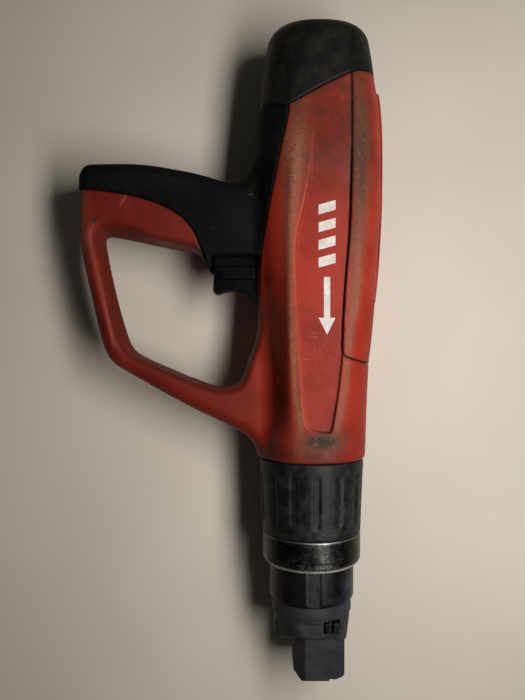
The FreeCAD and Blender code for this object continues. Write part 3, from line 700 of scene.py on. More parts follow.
FINGER_FACE = (
    (-69, 116.5), (-66.8, 113.0), (-64.5, 112.4), (-60, 114.0), (-54.6, 114.9), (-49, 114.0),
    (-43.8, 111.4), (-40.5, 108.4), (-38.2, 105.4), (-36, 102),
)


def trigger_field(x, y, z):
    """Trigger blade: rounded sides, a hollow finger face and a lip at its lower end."""
    waist = 0.7 * bump(y, 124, 7)
    blade = box_field(x, y, z, TRIGGER_X, (98, 139), (-TRIGGER_HALF_Z, TRIGGER_HALF_Z), 2.2)
    blade = round_max(blade + waist * step(-x, 60, 66), 0.85 * (curve(x, FINGER_FACE) - y), 1.8)
    blade = smooth_max(blade, np.abs(z) - TRIGGER_HALF_Z + 0.1 + 0.9 * step(y, 122.6, 121.4), 0.4)
    line = np.maximum(np.abs(y - 131.0) - 0.35, 8.3 - np.abs(z))
    stem = box_field(x, y, z, (-61, -49), (134, 150), (-6, 6), 0.8)
    return np.minimum(cut(blade, line, 0.2), stem)


DIAL_R = 11.8
DIAL_FACE_Z = -34.7
DIAL_RIBS = 36


def dial_field(x, y, z):
    """Power wheel: a knurled rim, a dished face and a raised finger bar with a pointer groove."""
    cx, cy, _ = middle_of("power_wheel")
    across, along = x - cx, y - cy
    away = np.sqrt(across ** 2 + along ** 2)
    rim = away - DIAL_R + 0.25 * np.cos(DIAL_RIBS * np.arctan2(across, along))
    body = round_max(rim, slab(z, DIAL_FACE_Z, -28.45), 0.7)
    body = cut(body, np.maximum(away - 9.4, z + 32.9), 0.5)
    bar = round_max(np.abs(across) - 2.3, np.maximum(away - 9.9, slab(z, DIAL_FACE_Z, -30)), 0.8)
    body = smooth_min(body, bar, 0.5)
    groove = np.maximum(np.abs(across) - 0.45, np.maximum(slab(along, 3.5, 9.0), z + 34.1))
    return cut(body, groove, 0.15)


def button_field(node, radius, outer_z):
    """A round push button with a dished face and a soft rim."""
    cx, cy, _ = middle_of(node)

    def field(x, y, z):
        away = np.hypot(x - cx, y - cy)
        body = round_max(away - radius, slab(z, -outer_z, -29.7), 0.8)
        dish = np.sqrt(away ** 2 + (z + outer_z + 2.6 * radius) ** 2) - 2.72 * radius
        return cut(body, dish, 0.3)
    return field


LATCH_SHY = 0.05
LATCH_RIB_X = 8.8
LATCH_RIB_PITCH = 1.6


def latch_field(x, y, z):
    """Head latch: a small sliding block with finger ribs and a slot beside them."""
    low, high = node_box("head_latch")
    low, high = low + LATCH_SHY, high - LATCH_SHY
    body = box_field(x, y, z, (low[0], high[0]), (low[1], high[1]), (low[2], high[2]), 0.5)
    slot = box_field(x, y, z, (10.6, 12.6), (low[1] + 0.5, high[1] + 2), (high[2] - 2.4, high[2] + 3))
    body = cut(body, slot, 0.25)
    ribs = np.abs((x - LATCH_RIB_X + LATCH_RIB_PITCH / 2) % LATCH_RIB_PITCH - LATCH_RIB_PITCH / 2) - 0.3
    return cut(body, np.maximum(np.maximum(ribs, slab(x, 7.4, 10.2)), high[2] - 0.35 - z), 0.1)


# node, wire radius, turns, axis, and the bodies at the spring's low and high ends
SPRINGS = (
    ("contact_spring", 1.6, 9, 1, "nose_unit", "housing"),
    ("firing_pin_spring", 1.0, 8, 1, "firing_pin", "housing"),
    ("trigger_spring", 0.6, 7, 1, "trigger", "housing"),
    ("power_button_spring", 0.4, 1.5, 2, "power_button", "housing"),
    ("release_spring", 0.45, 1.5, 2, "release_button", "housing"),
    ("latch_spring", 0.4, 2, 2, "nose_unit", "head_latch"),
)
WIRE_SIDES = 8
STEPS_PER_TURN = 36
END_SHARE = 0.1


def wire_faces(rings):
    """Quads of a closed tube made of this many rings."""
    corner = np.arange(WIRE_SIDES)
    ahead = (corner + 1) % WIRE_SIDES
    wall = np.stack([corner, ahead, ahead + WIRE_SIDES, corner + WIRE_SIDES], axis=1)
    walls = (WIRE_SIDES * np.arange(rings - 1)[:, None, None] + wall).reshape(-1, 4)
    cap = np.array([(0, 1, 2, 7), (7, 2, 3, 6), (6, 3, 4, 5)])
    return np.concatenate([walls, cap[:, ::-1], cap + WIRE_SIDES * (rings - 1)])


def make_spring(node, wire_r, turns, axis, low_body, high_body):
    """A wound wire in place of a CAD spring. Its two bodies are not used."""
    low, high = node_box(node)
    first, second = (axis + 1) % 3, (axis + 2) % 3
    radius = (high - low)[first] / 2 - wire_r
    share = np.linspace(0, 1, int(turns * STEPS_PER_TURN) + 1)
    turn = 2 * np.pi * turns * share
    outward = np.zeros((len(turn), 3))
    outward[:, first], outward[:, second] = np.cos(turn), np.sin(turn)
    centre = (low + high) / 2 + radius * outward
    centre[:, axis] = low[axis] + wire_r + share * (high[axis] - low[axis] - 2 * wire_r)
    along = np.gradient(centre, axis=0)
    along /= np.linalg.norm(along, axis=1)[:, None]
    side = np.cross(along, outward)
    around = 2 * np.pi * np.arange(WIRE_SIDES)[:, None] / WIRE_SIDES
    rings = centre[:, None] + wire_r * (np.cos(around) * outward[:, None] + np.sin(around) * side[:, None])
    piece = mesh_object(node.replace("_spring", "_coil"), rings.reshape(-1, 3), wire_faces(len(turn)))
    piece.data.materials.append(FINISHES["spring_steel"])
    start, end = (low + high) / 2, (low + high) / 2
    start[axis] = low[axis] + END_SHARE * (high - low)[axis]
    end[axis] = high[axis] - END_SHARE * (high - low)[axis]
    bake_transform(piece)
    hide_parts(node)


MARK_X = 7.6
MARK_Y = (84.0, 172.0)
MARK_HALF = 2.0
MARK_HEAD = 5.4
MARK_SHAFT = 26
MARK_SPACE = 6
MARK_TICKS = 4
MARK_LEAN = 3.0


def flat_prism(name, outlines, low_z, high_z):
    """Closed flat pieces with one thickness, each from its outline in the XY plane, right-handed."""
    mesh = bmesh.new()
    for outline in outlines:
        top, under = ([mesh.verts.new(ORIGIN + np.array((x, y, z)) * MM) for x, y in outline]
                      for z in (high_z, low_z))
        mesh.faces.new(top)
        mesh.faces.new(under[::-1])
        for i in range(len(outline)):
            j = (i + 1) % len(outline)
            mesh.faces.new((under[i], under[j], top[j], top[i]))
    data = bpy.data.meshes.new(name)
    mesh.to_mesh(data)
    mesh.free()
    return add(name, data)


def make_mark():
    """A plain printed arrow that points at the muzzle, with a row of slanted blocks behind it."""
    tip, tail = MARK_Y
    neck = tip + 2 * MARK_HEAD
    arrow = [(0, tip), (MARK_HEAD, neck), (MARK_HALF, neck), (MARK_HALF, neck + MARK_SHAFT),
             (-MARK_HALF, neck + MARK_SHAFT), (-MARK_HALF, neck), (-MARK_HEAD, neck)]
    outlines = [arrow]
    first = neck + MARK_SHAFT + MARK_SPACE
    pitch = (tail - first) / MARK_TICKS
    for low in first + pitch * np.arange(MARK_TICKS):
        high = low + 0.55 * pitch
        outlines.append([(-MARK_HEAD, low), (MARK_HEAD, low + MARK_LEAN), (MARK_HEAD, high + MARK_LEAN),
                         (-MARK_HEAD, high)])
    outlines = [[(MARK_X + x, y) for x, y in outline] for outline in outlines]
    return flat_prism("panel_mark", outlines, PANEL_Z - 0.15, PANEL_Z + 0.06)


# ---- wear, painted shade and painted highlights, painted on the vertices ----
def strip_of(x, y, centre, half, strength):
    """A soft band that follows a line along the tool: centre, half width and strength over y."""
    return curve(y, strength) * bump(x, curve(y, centre), curve(y, half))


def near(x, y, centre, reach):
    """1 at a place on the flank, fading out over a reach in x and y."""
    return bump(x, centre[0], reach[0]) * bump(y, centre[1], reach[1])


def slab_mask(value, low, high):
    """1 between low and high, 0 outside."""
    return step(value, low - 2, low + 2) * step(-value, -high - 2, -high + 2)


def ridge_dust(x, y):
    """The bands of dust along the left and right ridge of the flank."""
    left = strip_of(x, y, ((10, -9), (30, -10), (42, -11.9), (74, -14.6), (106, -16.3), (131, -16.5),
                           (157, -16.2), (188, -13.5), (240, -10)),
                    ((10, 4), (30, 3), (42, 2.1), (106, 2.0), (131, 2.8), (157, 4.2), (188, 6.0), (240, 9)),
                    ((0, 0), (16, 0.7), (30, 1), (200, 1), (222, 0.35), (240, 0.15)))
    right = strip_of(x, y, ((10, 12), (20, 13), (42, 17.6), (66, 20.5), (90, 22.8), (106, 25.2), (137, 26.4),
                            (170, 28.8), (215, 28.8), (250, 28)),
                     ((10, 3), (42, 2.6), (90, 2.6), (106, 4.0), (137, 5.2), (215, 6.0), (250, 8)),
                     ((6, 0), (16, 0.6), (30, 0.8), (200, 1), (232, 0.5), (255, 0.2)))
    return left, right


def red_wear(x, y, z):
    """Masks for the red shell: dust, grime, scratches and a scratched nick, painted shade on the handle, the
    lower left flank and along the finger gap, darker zones towards the rear and the front, and painted
    highlights on the panel's left wall and the handle's crest.
    """
    flank = step(np.abs(z), 24, 33)
    left, right = ridge_dust(x, y)
    panel_tip = near(x, y, (3.5, 15.5), (15, 5.2))
    handle_end = 0.75 * bump(x, -157, 5.5) * step(y, 110, 150)
    dust = np.maximum(flank * np.maximum(np.maximum(left, right), panel_tip * 0.9), handle_end)
    grime = flank * np.maximum(near(x, y, (4.5, 16), (13, 6)) * 1.3, right * step(y, 120, 190) * 0.8)
    # Painted shade along the finger gap's edge and inner walls.
    gap_wall_shade = 0.75 * (1 - step(gap_outline(x, y), 2.5, 9.0)) * step(-x, 62, 74)
    # Darker towards the rear on the flanks, and painted shade on the lower left flank.
    stain = step(y, 150, 206) * flank + 0.75 * near(x, y, (-24, 62), (9, 46)) + gap_wall_shade
    # Darker towards the front edge of the shell.
    stain = stain + 1.1 * step(18 - y, 0, 14) * step(30 - x, 0, 26)
    scratch = flank * np.maximum(near(x, y, (0, 74), (10, 19)), 0.8 * near(x, y, (-26, 66), (6, 40)))
    # Painted highlight on the panel's left step wall, which faces the light.
    wall = bump(panel_outline(x, y), -0.6, 0.65) * flank * step(4 - x, 0, 4) * slab_mask(y, 23, 216)
    # Painted highlight along the crest of the handle's left bar.
    crest_highlight = strip_of(x, y, ((76, -133.2), (162, -150.6)), ((76, 0.8), (162, 0.8)),
                     ((72, 0), (80, 0.55), (164, 0)))
    # A light scratch on the handle.
    nick = strip_of(x, y, ((169.5, -128.7), (178.4, -123.3)), ((169, 0.5), (178.4, 0.9)),
                    ((168.8, 0), (171, 0.9), (177, 0.9), (178.6, 0)))
    # Darker on the sides towards the front.
    front_sides = 0.42 * step(80 - y, 0, 50) * step(np.abs(z), 8, 20)
    return {"dust": dust, "grime": grime, "stain": stain, "scratch": scratch,
            # Painted highlights and one light scratch.
            "rubbed": np.maximum(wall, (z > 4) * np.maximum(crest_highlight, nick)),
            # Painted shade over the handle, and darker on the sides towards the front.
            "deep": np.maximum(step(-x, 26, 46), front_sides)}


def seam_dirt_and_shade(x, y, z, reach=1.0):
    """1 in the seams between the shell's pieces, and along the foot of the panel's right step as painted
    shade; 0 away from them.
    """
    near_seam = np.minimum(np.abs(before_cap(x, y)), np.abs(in_grip_shell(x, y)))
    seams = bump(np.minimum(near_seam, np.abs(in_cover(x, y))), 0, reach)
    # Painted shade at the foot of the panel's right step.
    step_shade = bump(panel_outline(x, y), -0.7, 0.8) * step(np.abs(z), 30, 33) * (y < 205) * step(x, 4, 9)
    return np.maximum(seams, 0.7 * step_shade)


def paint_red(obj):
    """Wear, painted shade and painted highlights of the red pieces, with one deep chip on the handle."""
    x, y, z = tool_points(obj).T
    for name, values in red_wear(x, y, z).items():
        paint(obj, name, values)
    paint(obj, "seam", seam_dirt_and_shade(x, y, z))
    paint(obj, "chip", 1.6 * near(x, y, (-145.7, 160.3), (1.3, 2.2)) * (z > 0))


def paint_black(obj):
    """Wear of the grip and the cap, dark seams spread into painted shade over their rounded rims, and a chip
    and a nick on the cap's flank.
    """
    x, y, z = tool_points(obj).T
    # These seams reach wider, as painted shade over the rounded rims beside them.
    paint(obj, "seam", seam_dirt_and_shade(x, y, z, 1.8))
    handled = near(x, y, (-100, 186), (46, 9)) + near(x, y, (-48, 160), (16, 18))
    paint(obj, "worn", handled)
    chip = near(x, y, (31.5, 276), (0.9, 1.4)) + near(x, y, (33.6, 271), (0.6, 1.1))
    paint(obj, "chip", chip * (z > 0))


def blue_streak(x, y, z):
    """A streak of blue on one side of the adapter and the head."""
    return bump(np.arctan2(x, z), 1.0, 0.26) * step(-y, 75, 79) * step(y, -103, -97)


def paint_turned(obj):
    """Wear of the ring, the collar and the adapter, with the ring's wear lightest on the side towards the
    light as a painted highlight.
    """
    x, y, z = tool_points(obj).T
    turn = np.arctan2(x, z)
    front, rear = RING_Y
    # The ring's bare edge and rubbed face are lightest on the side towards the light: a painted highlight
    # there.
    edges = np.maximum(bump(y, front + 1.0, 1.5), 0.55 * bump(y, rear - 0.5, 0.5))
    paint(obj, "edge", edges * (0.25 + 0.75 * bump(turn, 0.15, 0.75)))
    paint(obj, "face", (0.15 + 0.85 * bump(y, front, 7.5)) * (0.12 + 0.88 * bump(turn, 0.1, 0.62)))
    paint(obj, "land", step(np.abs(from_land(turn)), 0.17, 0.13) * (np.abs(y + 74) < 22))
    paint(obj, "smear", blue_streak(x, y, z))
    paint(obj, "rub", bump(turn, 0.3, 0.55) * step(-y, 4, 40))


# ---- materials ----
class Surface:
    """A principled material whose colour, roughness and bump come from nodes in the tool's own space."""

    def __init__(self, name, colour, metallic=0.0, specular=0.5):
        self.material = bpy.data.materials.new(name)
        self.material.use_nodes = True
        self.tree = self.material.node_tree
        self.shader = self.tree.nodes["Principled BSDF"]
        self.shader.inputs["Metallic"].default_value = metallic
        self.shader.inputs["Specular IOR Level"].default_value = specular
        self.place = self.node("TexCoord")["Object"]
        self.colour = colour
        self.height = None

    def node(self, kind, inputs=(), **settings):
        """The outputs of a new node. An input is a number, a vector, a colour or another node's output."""
        node = self.tree.nodes.new("ShaderNode" + kind)
        for name, value in settings.items():
            setattr(node, name, value)
        for name, value in dict(inputs).items():
            self.feed(node.inputs[name], value)
        return node.outputs

    def feed(self, socket, value):
        if isinstance(value, bpy.types.NodeSocket):
            self.tree.links.new(value, socket)
        elif isinstance(value, tuple):
            socket.default_value = (*value, 1.0)[:len(socket.default_value)]
        else:
            socket.default_value = value

    def noise(self, size, detail=3.0, rough=0.5, stretch=None, turn=0.0, seed=0.0):
        """Noise with features about this many millimetres across, shorter along a larger stretch."""
        place = self.place
        if stretch:
            inputs = {"Vector": place, "Scale": stretch, "Rotation": (0, 0, turn)}
            place = self.node("Mapping", inputs)["Vector"]
        inputs = {"Vector": place, "W": seed, "Scale": 1 / (size * MM), "Detail": detail, "Roughness": rough}
        return self.node("TexNoise", inputs, noise_dimensions="4D")["Fac"]

    def painted(self, name):
        return self.node("Attribute", attribute_name=name)["Fac"]

    def between(self, value, low, high, to_low=0.0, to_high=1.0):
        inputs = {"Value": value, "From Min": low, "From Max": high, "To Min": to_low, "To Max": to_high}
        return self.node("MapRange", inputs, interpolation_type="SMOOTHSTEP")["Result"]

    def math(self, kind, a, b):
        return self.node("Math", {0: a, 1: b}, operation=kind)[0]

    def times(self, a, b):
        return self.math("MULTIPLY", a, b)

    def most(self, a, b):
        return self.math("MAXIMUM", a, b)

    def masked(self, name, *pattern):
        """A painted mask, broken up by a pattern as between() gives it."""
        return self.times(self.painted(name), self.between(*pattern))

    def coat(self, colour, amount):
        """Lays one more colour over those before it."""
        self.colour = self.node("Mix", {0: amount, 6: self.colour, 7: colour}, data_type="RGBA")[2]

    def relief(self, value, depth):
        """Adds a height pattern, with its depth in millimetres."""
        inputs = {"Strength": 1.0, "Distance": depth * MM, "Height": value}
        if self.height:
            inputs["Normal"] = self.height
        self.height = self.node("Bump", inputs)["Normal"]

    def finish(self, roughness):
        self.feed(self.shader.inputs["Base Color"], self.colour)
        self.feed(self.shader.inputs["Roughness"], roughness)
        if self.height:
            self.feed(self.shader.inputs["Normal"], self.height)
        return self.material


RED = (0.36, 0.028, 0.012)
RED_DEEP = (0.25, 0.016, 0.007)
# A darker red for painted shade on the handle.
HANDLE_SHADE_AND_DARK_RED = (0.125, 0.0105, 0.0055)
# A light orange red for painted highlights and a scratch.
HIGHLIGHT_AND_SCRATCH_RED = (0.44, 0.080, 0.036)
BROWN_DUST = (0.25, 0.112, 0.064)
DARK_GRIME = (0.034, 0.022, 0.016)
# A dark red for painted shade and darker zones.
SHADE_AND_DARKENING_RED = (0.060, 0.016, 0.009)
SCRATCH = (0.52, 0.15, 0.075)
# Dark for seams and for painted shade.
SEAM_DIRT_AND_SHADE = (0.022, 0.010, 0.008)
CHIP_GREY = (0.030, 0.029, 0.028)
HAIR_SCRATCH = (0.09, 0.085, 0.08)
NEAR_BLACK = (0.003, 0.003, 0.003)
GREY_DUST = (0.065, 0.064, 0.060)
GREY_SCRATCH = (0.06, 0.06, 0.058)
RUBBED_STEEL_AND_HIGHLIGHT = (0.19, 0.19, 0.185)
BARE_STEEL_AND_HIGHLIGHT = (0.70, 0.69, 0.67)
LAND_GREY = (0.034, 0.034, 0.032)
BLUE_ON_BLACK = (0.030, 0.043, 0.105)
BLUE_ON_GREY = (0.035, 0.052, 0.135)
BROWN_FILM = (0.050, 0.040, 0.030)
PIT_GREY = (0.07, 0.07, 0.07)
RED_SHOWING_THROUGH = (0.24, 0.055, 0.035)


def red_plastic():
    """Moulded red plastic, faded and dusty on its high places, with grime, fine scratches, darker zones,
    painted shade and painted highlights.
    """
    s = Surface("red_plastic", RED_DEEP, specular=0.2)
    broad = s.noise(38, 3, 0.6)
    blotch = s.noise(7.5, 4, 0.62, seed=2.0)
    speck = s.noise(1.1, 3, 0.65, seed=4.0)
    across = s.noise(1.0, 2, 0.6, stretch=(0.16, 1.6, 1.0), turn=0.12, seed=5.0)
    along = s.noise(1.0, 2, 0.6, stretch=(1.5, 0.14, 1.0), turn=0.2, seed=9.0)
    s.coat(RED, s.between(broad, 0.34, 0.62))
    # Painted shade over the handle, and darker on the sides towards the front.
    s.coat(HANDLE_SHADE_AND_DARK_RED, s.masked("deep", broad, 0.30, 0.70, 0.86, 0.66))
    # Painted highlights on the panel's left wall and the handle's crest, and one light scratch.
    s.coat(HIGHLIGHT_AND_SCRATCH_RED, s.masked("rubbed", speck, 0.30, 0.60, 0.45, 0.95))
    # Painted shade on the lower left flank and along the finger gap, and darker towards the rear and the
    # front edge.
    s.coat(SHADE_AND_DARKENING_RED, s.masked("stain", blotch, 0.30, 0.70, 0.40, 0.82))
    dusty = s.times(s.masked("dust", speck, 0.30, 0.60, 0.15, 1.0), s.between(blotch, 0.26, 0.52, 0.55, 1.0))
    film = s.times(s.between(blotch, 0.46, 0.72), s.between(speck, 0.42, 0.70, 0.0, 0.14))
    s.coat(BROWN_DUST, s.most(dusty, film))
    s.coat(DARK_GRIME, s.masked("grime", s.noise(2.6, 3, 0.6, seed=7.0), 0.28, 0.52, 0.4, 0.97))
    lines = s.times(s.between(across, 0.60, 0.66), s.between(blotch, 0.46, 0.54))
    cross = s.times(s.between(along, 0.61, 0.67), s.between(blotch, 0.54, 0.46))
    scraped = s.times(s.most(lines, cross), s.most(s.painted("scratch"), s.times(s.painted("dust"), 0.1)))
    s.coat(SCRATCH, s.times(scraped, 0.6))
    # Dark seams, and painted shade at the foot of the panel's right step.
    s.coat(SEAM_DIRT_AND_SHADE, s.masked("seam", blotch, 0.30, 0.60, 0.45, 0.95))
    s.coat(CHIP_GREY, s.between(s.painted("chip"), 0.35, 0.6))
    s.relief(s.noise(0.45, 2, 0.5, seed=11.0), 0.012)
    s.relief(scraped, 0.03)
    s.relief(s.painted("chip"), -0.08)
    return s.finish(s.math("ADD", s.between(blotch, 0.3, 0.7, 0.46, 0.58), s.times(dusty, 0.2)))


def black_plastic(name, base, lighter, rough, grain, mottle, specular):
    """Black moulded plastic or rubber: fine grain, pale handling marks, and dirt in the seams spread into
    painted shade over the rims beside them.
    """
    s = Surface(name, base, specular=specular)
    blotch = s.noise(11, 4, 0.65, seed=1.0)
    speck = s.noise(1.4, 3, 0.7, seed=3.0)
    s.coat(lighter, s.times(s.between(blotch, 0.40, 0.70), s.between(speck, 0.32, 0.66, 0.2, mottle)))
    s.coat(lighter, s.masked("worn", speck, 0.36, 0.62, 0.1, 0.6))
    hair = s.between(s.noise(1.2, 2, 0.5, stretch=(0.12, 1.2, 1.0), turn=0.5, seed=6.0), 0.66, 0.70)
    s.coat(HAIR_SCRATCH, s.times(hair, s.between(blotch, 0.5, 0.7, 0.0, 0.55)))
    # Dark seams, spread into painted shade over the rounded rims beside them.
    s.coat(NEAR_BLACK, s.times(s.painted("seam"), 0.8))
    s.relief(s.noise(grain, 2, 0.55, seed=8.0), 0.02)
    s.relief(s.painted("chip"), -0.5)
    roughness = s.between(blotch, 0.3, 0.7, rough - 0.06, rough + 0.07)
    return s.finish(s.math("SUBTRACT", roughness, s.times(s.painted("chip"), 0.4)))


def collar_plastic():
    """Grey-black plastic, dusty on the lands between the flutes and rubbed towards its front."""
    s = Surface("collar_plastic", (0.0035, 0.0043, 0.0052), specular=0.2)
    blotch = s.noise(6.5, 4, 0.65, seed=1.5)
    speck = s.noise(0.9, 3, 0.7, seed=3.5)
    rings = s.noise(1.0, 2, 0.5, stretch=(0.2, 1.4, 0.2), seed=4.5)
    s.coat((0.0125, 0.0145, 0.016), s.between(blotch, 0.36, 0.68))
    dusty = s.times(s.between(speck, 0.42, 0.68), s.between(blotch, 0.40, 0.62, 0.1, 0.6))
    s.coat(GREY_DUST, s.times(dusty, s.most(s.painted("rub"), 0.35)))
    s.coat(GREY_SCRATCH, s.times(s.between(rings, 0.62, 0.68), s.times(s.painted("rub"), 0.5)))
    s.relief(s.noise(0.4, 2, 0.5, seed=8.5), 0.02)
    return s.finish(s.between(blotch, 0.3, 0.7, 0.42, 0.58))


def worn_steel():
    """Blackened steel ring, scratched bright on its face and bare along its front edge, with a painted
    highlight where both are strongest, on the side towards the light.
    """
    s = Surface("worn_steel", (0.012, 0.0125, 0.013))
    blotch = s.noise(7, 4, 0.7, seed=2.5)
    nick = s.noise(1.3, 4, 0.75, seed=4.5)
    around = s.noise(1.0, 2, 0.6, stretch=(0.25, 1.8, 0.25), seed=6.5)
    rub = s.times(s.between(blotch, 0.30, 0.62, 0.15, 1.0), s.masked("face", nick, 0.40, 0.66, 0.05, 0.8))
    scratch = s.times(s.between(around, 0.61, 0.66), s.between(blotch, 0.36, 0.60, 0.03, 0.28))
    edge = s.masked("edge", nick, 0.30, 0.55, 0.35, 1.0)
    bare = s.most(s.most(rub, scratch), edge)
    s.coat((0.030, 0.030, 0.028), s.between(nick, 0.4, 0.65))
    # Rubbed face and bare edge, lightened on the side towards the light as a painted highlight.
    s.coat(RUBBED_STEEL_AND_HIGHLIGHT, rub)
    s.coat(BARE_STEEL_AND_HIGHLIGHT, s.most(scratch, edge))
    s.feed(s.shader.inputs["Metallic"], s.between(bare, 0.1, 0.9, 0.95, 0.25))
    s.relief(bare, -0.02)
    s.relief(around, 0.01)
    return s.finish(s.between(blotch, 0.3, 0.7, 0.30, 0.44))


def blackened_metal():
    """Blackened adapter sleeve: a lighter lengthwise land, drag marks and a blue streak at one side."""
    s = Surface("blackened_metal", (0.0055, 0.0058, 0.006), metallic=0.5, specular=0.35)
    blotch = s.noise(8, 4, 0.65, seed=3.2)
    lengthwise = s.noise(1.0, 3, 0.6, stretch=(1.4, 0.12, 1.4), seed=5.2)
    s.coat((0.013, 0.0135, 0.014), s.between(blotch, 0.38, 0.66))
    s.coat(LAND_GREY, s.masked("land", lengthwise, 0.34, 0.64, 0.15, 0.9))
    s.coat(BLUE_ON_BLACK, s.masked("smear", s.noise(5, 3, 0.6, seed=7.2), 0.40, 0.56, 0.05, 0.9))
    s.relief(lengthwise, 0.012)
    return s.finish(s.between(blotch, 0.3, 0.7, 0.36, 0.50))


def cast_metal():
    """Matte phosphated head and nose with a rough cast skin and patches of brown dust."""
    s = Surface("cast_metal", (0.018, 0.0205, 0.0225), metallic=0.2, specular=0.25)
    blotch = s.noise(9, 4, 0.6, seed=1.1)
    pit = s.noise(0.8, 3, 0.7, seed=2.1)
    s.coat((0.031, 0.034, 0.036), s.between(blotch, 0.34, 0.68))
    s.coat(BROWN_FILM, s.times(s.between(s.noise(13, 3, 0.6, seed=3.1), 0.50, 0.70), 0.45))
    s.coat(PIT_GREY, s.times(s.between(pit, 0.60, 0.72), 0.5))
    s.coat(BLUE_ON_GREY, s.masked("smear", s.noise(5, 3, 0.6, seed=7.2), 0.42, 0.54, 0.05, 0.9))
    s.relief(pit, 0.035)
    return s.finish(s.between(blotch, 0.3, 0.7, 0.52, 0.66))


def turned_steel(name, dark, bright, rough):
    """Machined steel with fine turning marks round the shooting axis and darker oily patches."""
    s = Surface(name, dark, metallic=1.0)
    rings = s.noise(1.0, 2, 0.5, stretch=(0.06, 2.4, 0.06), seed=1.7)
    oil = s.noise(9, 3, 0.6, seed=2.7)
    s.coat(bright, s.between(rings, 0.35, 0.65))
    s.coat(tuple(c * 0.45 for c in dark), s.times(s.between(oil, 0.48, 0.70), 0.6))
    s.relief(rings, 0.01)
    return s.finish(s.between(oil, 0.3, 0.7, rough - 0.06, rough + 0.1))


def printed_white():
    """White printed paint, scuffed through in small spots."""
    s = Surface("printed_white", (0.62, 0.60, 0.57), specular=0.35)
    chips = s.noise(0.9, 4, 0.75, seed=1.9)
    patch = s.noise(8, 2, 0.5, seed=2.9)
    s.coat((0.80, 0.78, 0.75), s.between(patch, 0.35, 0.65))
    gone = s.times(s.between(chips, 0.585, 0.62), s.between(patch, 0.36, 0.56, 0.15, 1.0))
    s.coat(RED_SHOWING_THROUGH, gone)
    s.relief(chips, 0.01)
    return s.finish(s.between(chips, 0.3, 0.7, 0.45, 0.60))


def pale_floor():
    """A plain pale floor, slightly cloudy."""
    s = Surface("pale_floor", (0.65, 0.60, 0.52), specular=0.25)
    s.coat((0.69, 0.64, 0.56), s.between(s.noise(160, 2, 0.5), 0.35, 0.65))
    return s.finish(0.6)


# base colour, lighter colour, roughness, grain in millimetres, mottle and specular
BLACK_PLASTICS = {
    "soft_grip": ((0.0026, 0.0028, 0.0030), (0.012, 0.0118, 0.0115), 0.64, 0.5, 0.35, 0.08),
    "cap_plastic": ((0.0055, 0.0052, 0.0046), (0.028, 0.026, 0.021), 0.56, 0.35, 0.6, 0.18),
    "trigger_plastic": ((0.0008, 0.0012, 0.0019), (0.003, 0.0038, 0.005), 0.45, 0.3, 0.4, 0.08),
    "rubber": ((0.008, 0.008, 0.008), (0.02, 0.02, 0.02), 0.66, 0.6, 0.4, 0.35),
}
FINISHES = {name: black_plastic(name, *look) for name, look in BLACK_PLASTICS.items()}
FINISHES["red_shell"] = red_plastic()
FINISHES["collar_plastic"] = collar_plastic()
FINISHES["ring_steel"] = worn_steel()
FINISHES["black_metal"] = blackened_metal()
FINISHES["head_metal"] = cast_metal()
FINISHES["tool_steel"] = turned_steel("tool_steel", (0.26, 0.26, 0.26), (0.42, 0.415, 0.41), 0.30)
FINISHES["spring_steel"] = turned_steel("spring_steel", (0.15, 0.15, 0.155), (0.26, 0.26, 0.265), 0.36)


# ---- pieces on their bodies ----
def made(obj, body, slot, node):
    """Gives a finished piece the material of its slot, attaches it to its body, and hides the CAD node it
    stands for.
    """
    obj.data.materials.append(FINISHES[slot])
    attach(obj, body)
    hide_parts(node)
    return obj


REACH = 40
# name, field, corners of a box round the piece, slot and node
SHELL = (
    ("red_shell_right", red_field(1), (-160, -2, -2), (48, 262, REACH), "red_shell", "housing_right"),
    ("red_shell_left", red_field(-1), (-160, -2, -REACH), (48, 262, 2), "red_shell", "housing_left"),
    ("spine_cover", shell_part(in_cover), (14, 50, -REACH), (52, 280, REACH), "red_shell", "top_cover"),
    ("end_cap", cap_field, (-42, 225, -REACH), (50, 298, REACH), "cap_plastic", "rear_cap"),
    ("soft_grip", shell_part(in_grip_shell), (-161, 100, -REACH), (-12, 242, REACH), "soft_grip", "grip_pad"),
)
# the same, with the piece's body before its slot
FRONT = (
    ("tool_head", head_field, (-29, -128, -29), (29, -92, 29), "nose_unit", "head_metal", "nose_head"),
    ("square_nose", nose_field, (-15, -151, -20), (24, -114, 20), "nose_unit", "head_metal", "nose_block"),
    ("latch_block", latch_field, (5, -113, 17), (19, -102, 28), "head_latch", "black_metal", "head_latch"),
)
# name, field, corners, and the node, which has the same name as its body
CONTROLS = (
    ("trigger_blade", trigger_field, (-70, 97, -11), (-35, 152, 11), "trigger"),
    ("power_dial", dial_field, (-12, 104, -36), (17, 132, -27), "power_wheel"),
    ("dial_button", button_field("power_button", 4.0, 34.2), (-4, 90, -36), (9, 102, -28), "power_button"),
    ("catch_button", button_field("release_button", 5.0, 34.9), (-5, 33, -37), (10, 47, -28),
     "release_button"),
)


def make_shell():
    """The moulded pieces of the housing, and the mark on its panel."""
    for name, field, low, high, slot, node in SHELL:
        piece = made(moulded(name, field, low, high, GRID), "housing", slot, node)
        if slot == "red_shell":
            paint_red(piece)
        else:
            paint_black(piece)
    mark = make_mark()
    mark.data.materials.append(printed_white())
    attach(mark, "housing")


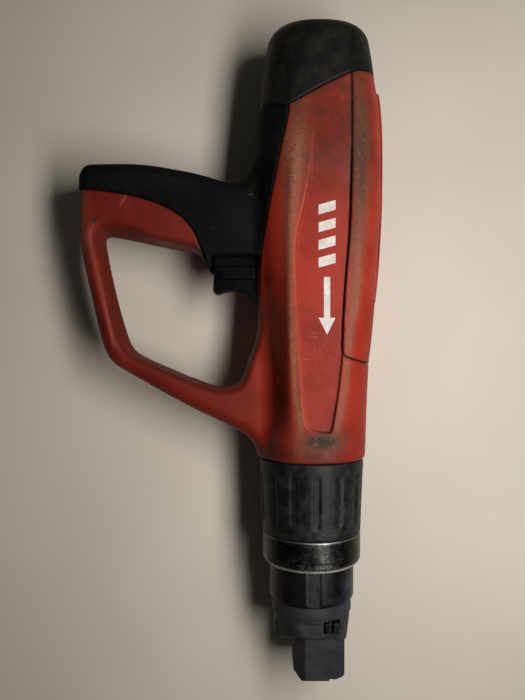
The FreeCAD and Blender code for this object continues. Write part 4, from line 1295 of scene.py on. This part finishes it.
def make_front():
    """The turned pieces in front of the housing, and the small moulded and cast ones."""
    paint_turned(made(make_collar(), "collar", "collar_plastic", "collar"))
    paint_turned(made(make_ring(), "collar", "ring_steel", "steel_ring"))
    paint_turned(made(make_adapter(), "nose_unit", "black_metal", "adapter_sleeve"))
    for name, field, low, high, body, slot, node in FRONT:
        piece = made(moulded(name, field, low, high, FINE_GRID), body, slot, node)
        paint(piece, "smear", blue_streak(*tool_points(piece).T))
    for name, field, low, high, node in CONTROLS:
        made(moulded(name, field, low, high, FINE_GRID), node, "trigger_plastic", node)


def finish_inside():
    """Materials for the CAD nodes that stay."""
    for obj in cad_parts.values():
        if obj.hide_render:
            continue
        slot = obj.data.materials[0].name.split(".")[0] if obj.data.materials else "tool_steel"
        for place in obj.material_slots:
            place.material = FINISHES.get(slot, FINISHES["tool_steel"])


# ---- stage ----
CAMERA_AT = (-33.6, 74.2, 448.5)
CAMERA_LENS = 33.4
CAMERA_SENSOR = 36
FLOOR_HALF = 3
LIGHT_TARGET = (-10, 75, 0)
LIGHT_WAY = (0.43, -0.03, 0.902)
LIGHT_REACH = 0.47
LIGHT_SIZE = (0.50, 0.13)
LIGHT_WATTS = 2.7
LIGHT_COLOUR = (1.0, 0.965, 0.92)
FILL_COLOUR = (1.0, 0.97, 0.93, 1)
FILL_STRENGTH = 0.03


def at(place):
    """A place in the tool's frame, in metres of the row's frame."""
    return Vector(ORIGIN) + Vector(place) * MM


def make_camera():
    """A camera straight above the tool."""
    camera = add("camera", bpy.data.cameras.new("camera"))
    camera.data.lens = CAMERA_LENS
    camera.data.sensor_width = CAMERA_SENSOR
    camera.location = at(CAMERA_AT)
    bpy.context.scene.camera = camera


def make_floor():
    mesh = bpy.data.meshes.new("floor")
    corners = [(FLOOR_HALF * u, FLOOR_HALF * v, 0) for u, v in ((-1, -1), (1, -1), (1, 1), (-1, 1))]
    mesh.from_pydata(corners, [], [(0, 1, 2, 3)])
    floor = add("floor", mesh)
    floor.data.materials.append(pale_floor())


def make_light():
    """One long soft light overhead and to the right, and a weak even fill."""
    bpy.context.scene.view_settings.view_transform = "Standard"
    world = bpy.data.worlds.new("studio")
    bpy.context.scene.world = world
    world.use_nodes = True
    background = world.node_tree.nodes["Background"]
    background.inputs["Color"].default_value = FILL_COLOUR
    background.inputs["Strength"].default_value = FILL_STRENGTH
    data = bpy.data.lights.new("window", "AREA")
    data.energy = LIGHT_WATTS
    data.shape = "RECTANGLE"
    data.size, data.size_y = LIGHT_SIZE
    data.color = LIGHT_COLOUR
    light = add("window", data)
    light.location = at(LIGHT_TARGET) + Vector(LIGHT_WAY) * LIGHT_REACH
    light.rotation_euler = (at(LIGHT_TARGET) - light.location).to_track_quat("-Z", "Y").to_euler()


make_camera()
make_shell()
make_front()
for spring in SPRINGS:
    make_spring(*spring)
finish_inside()
make_floor()
make_light()
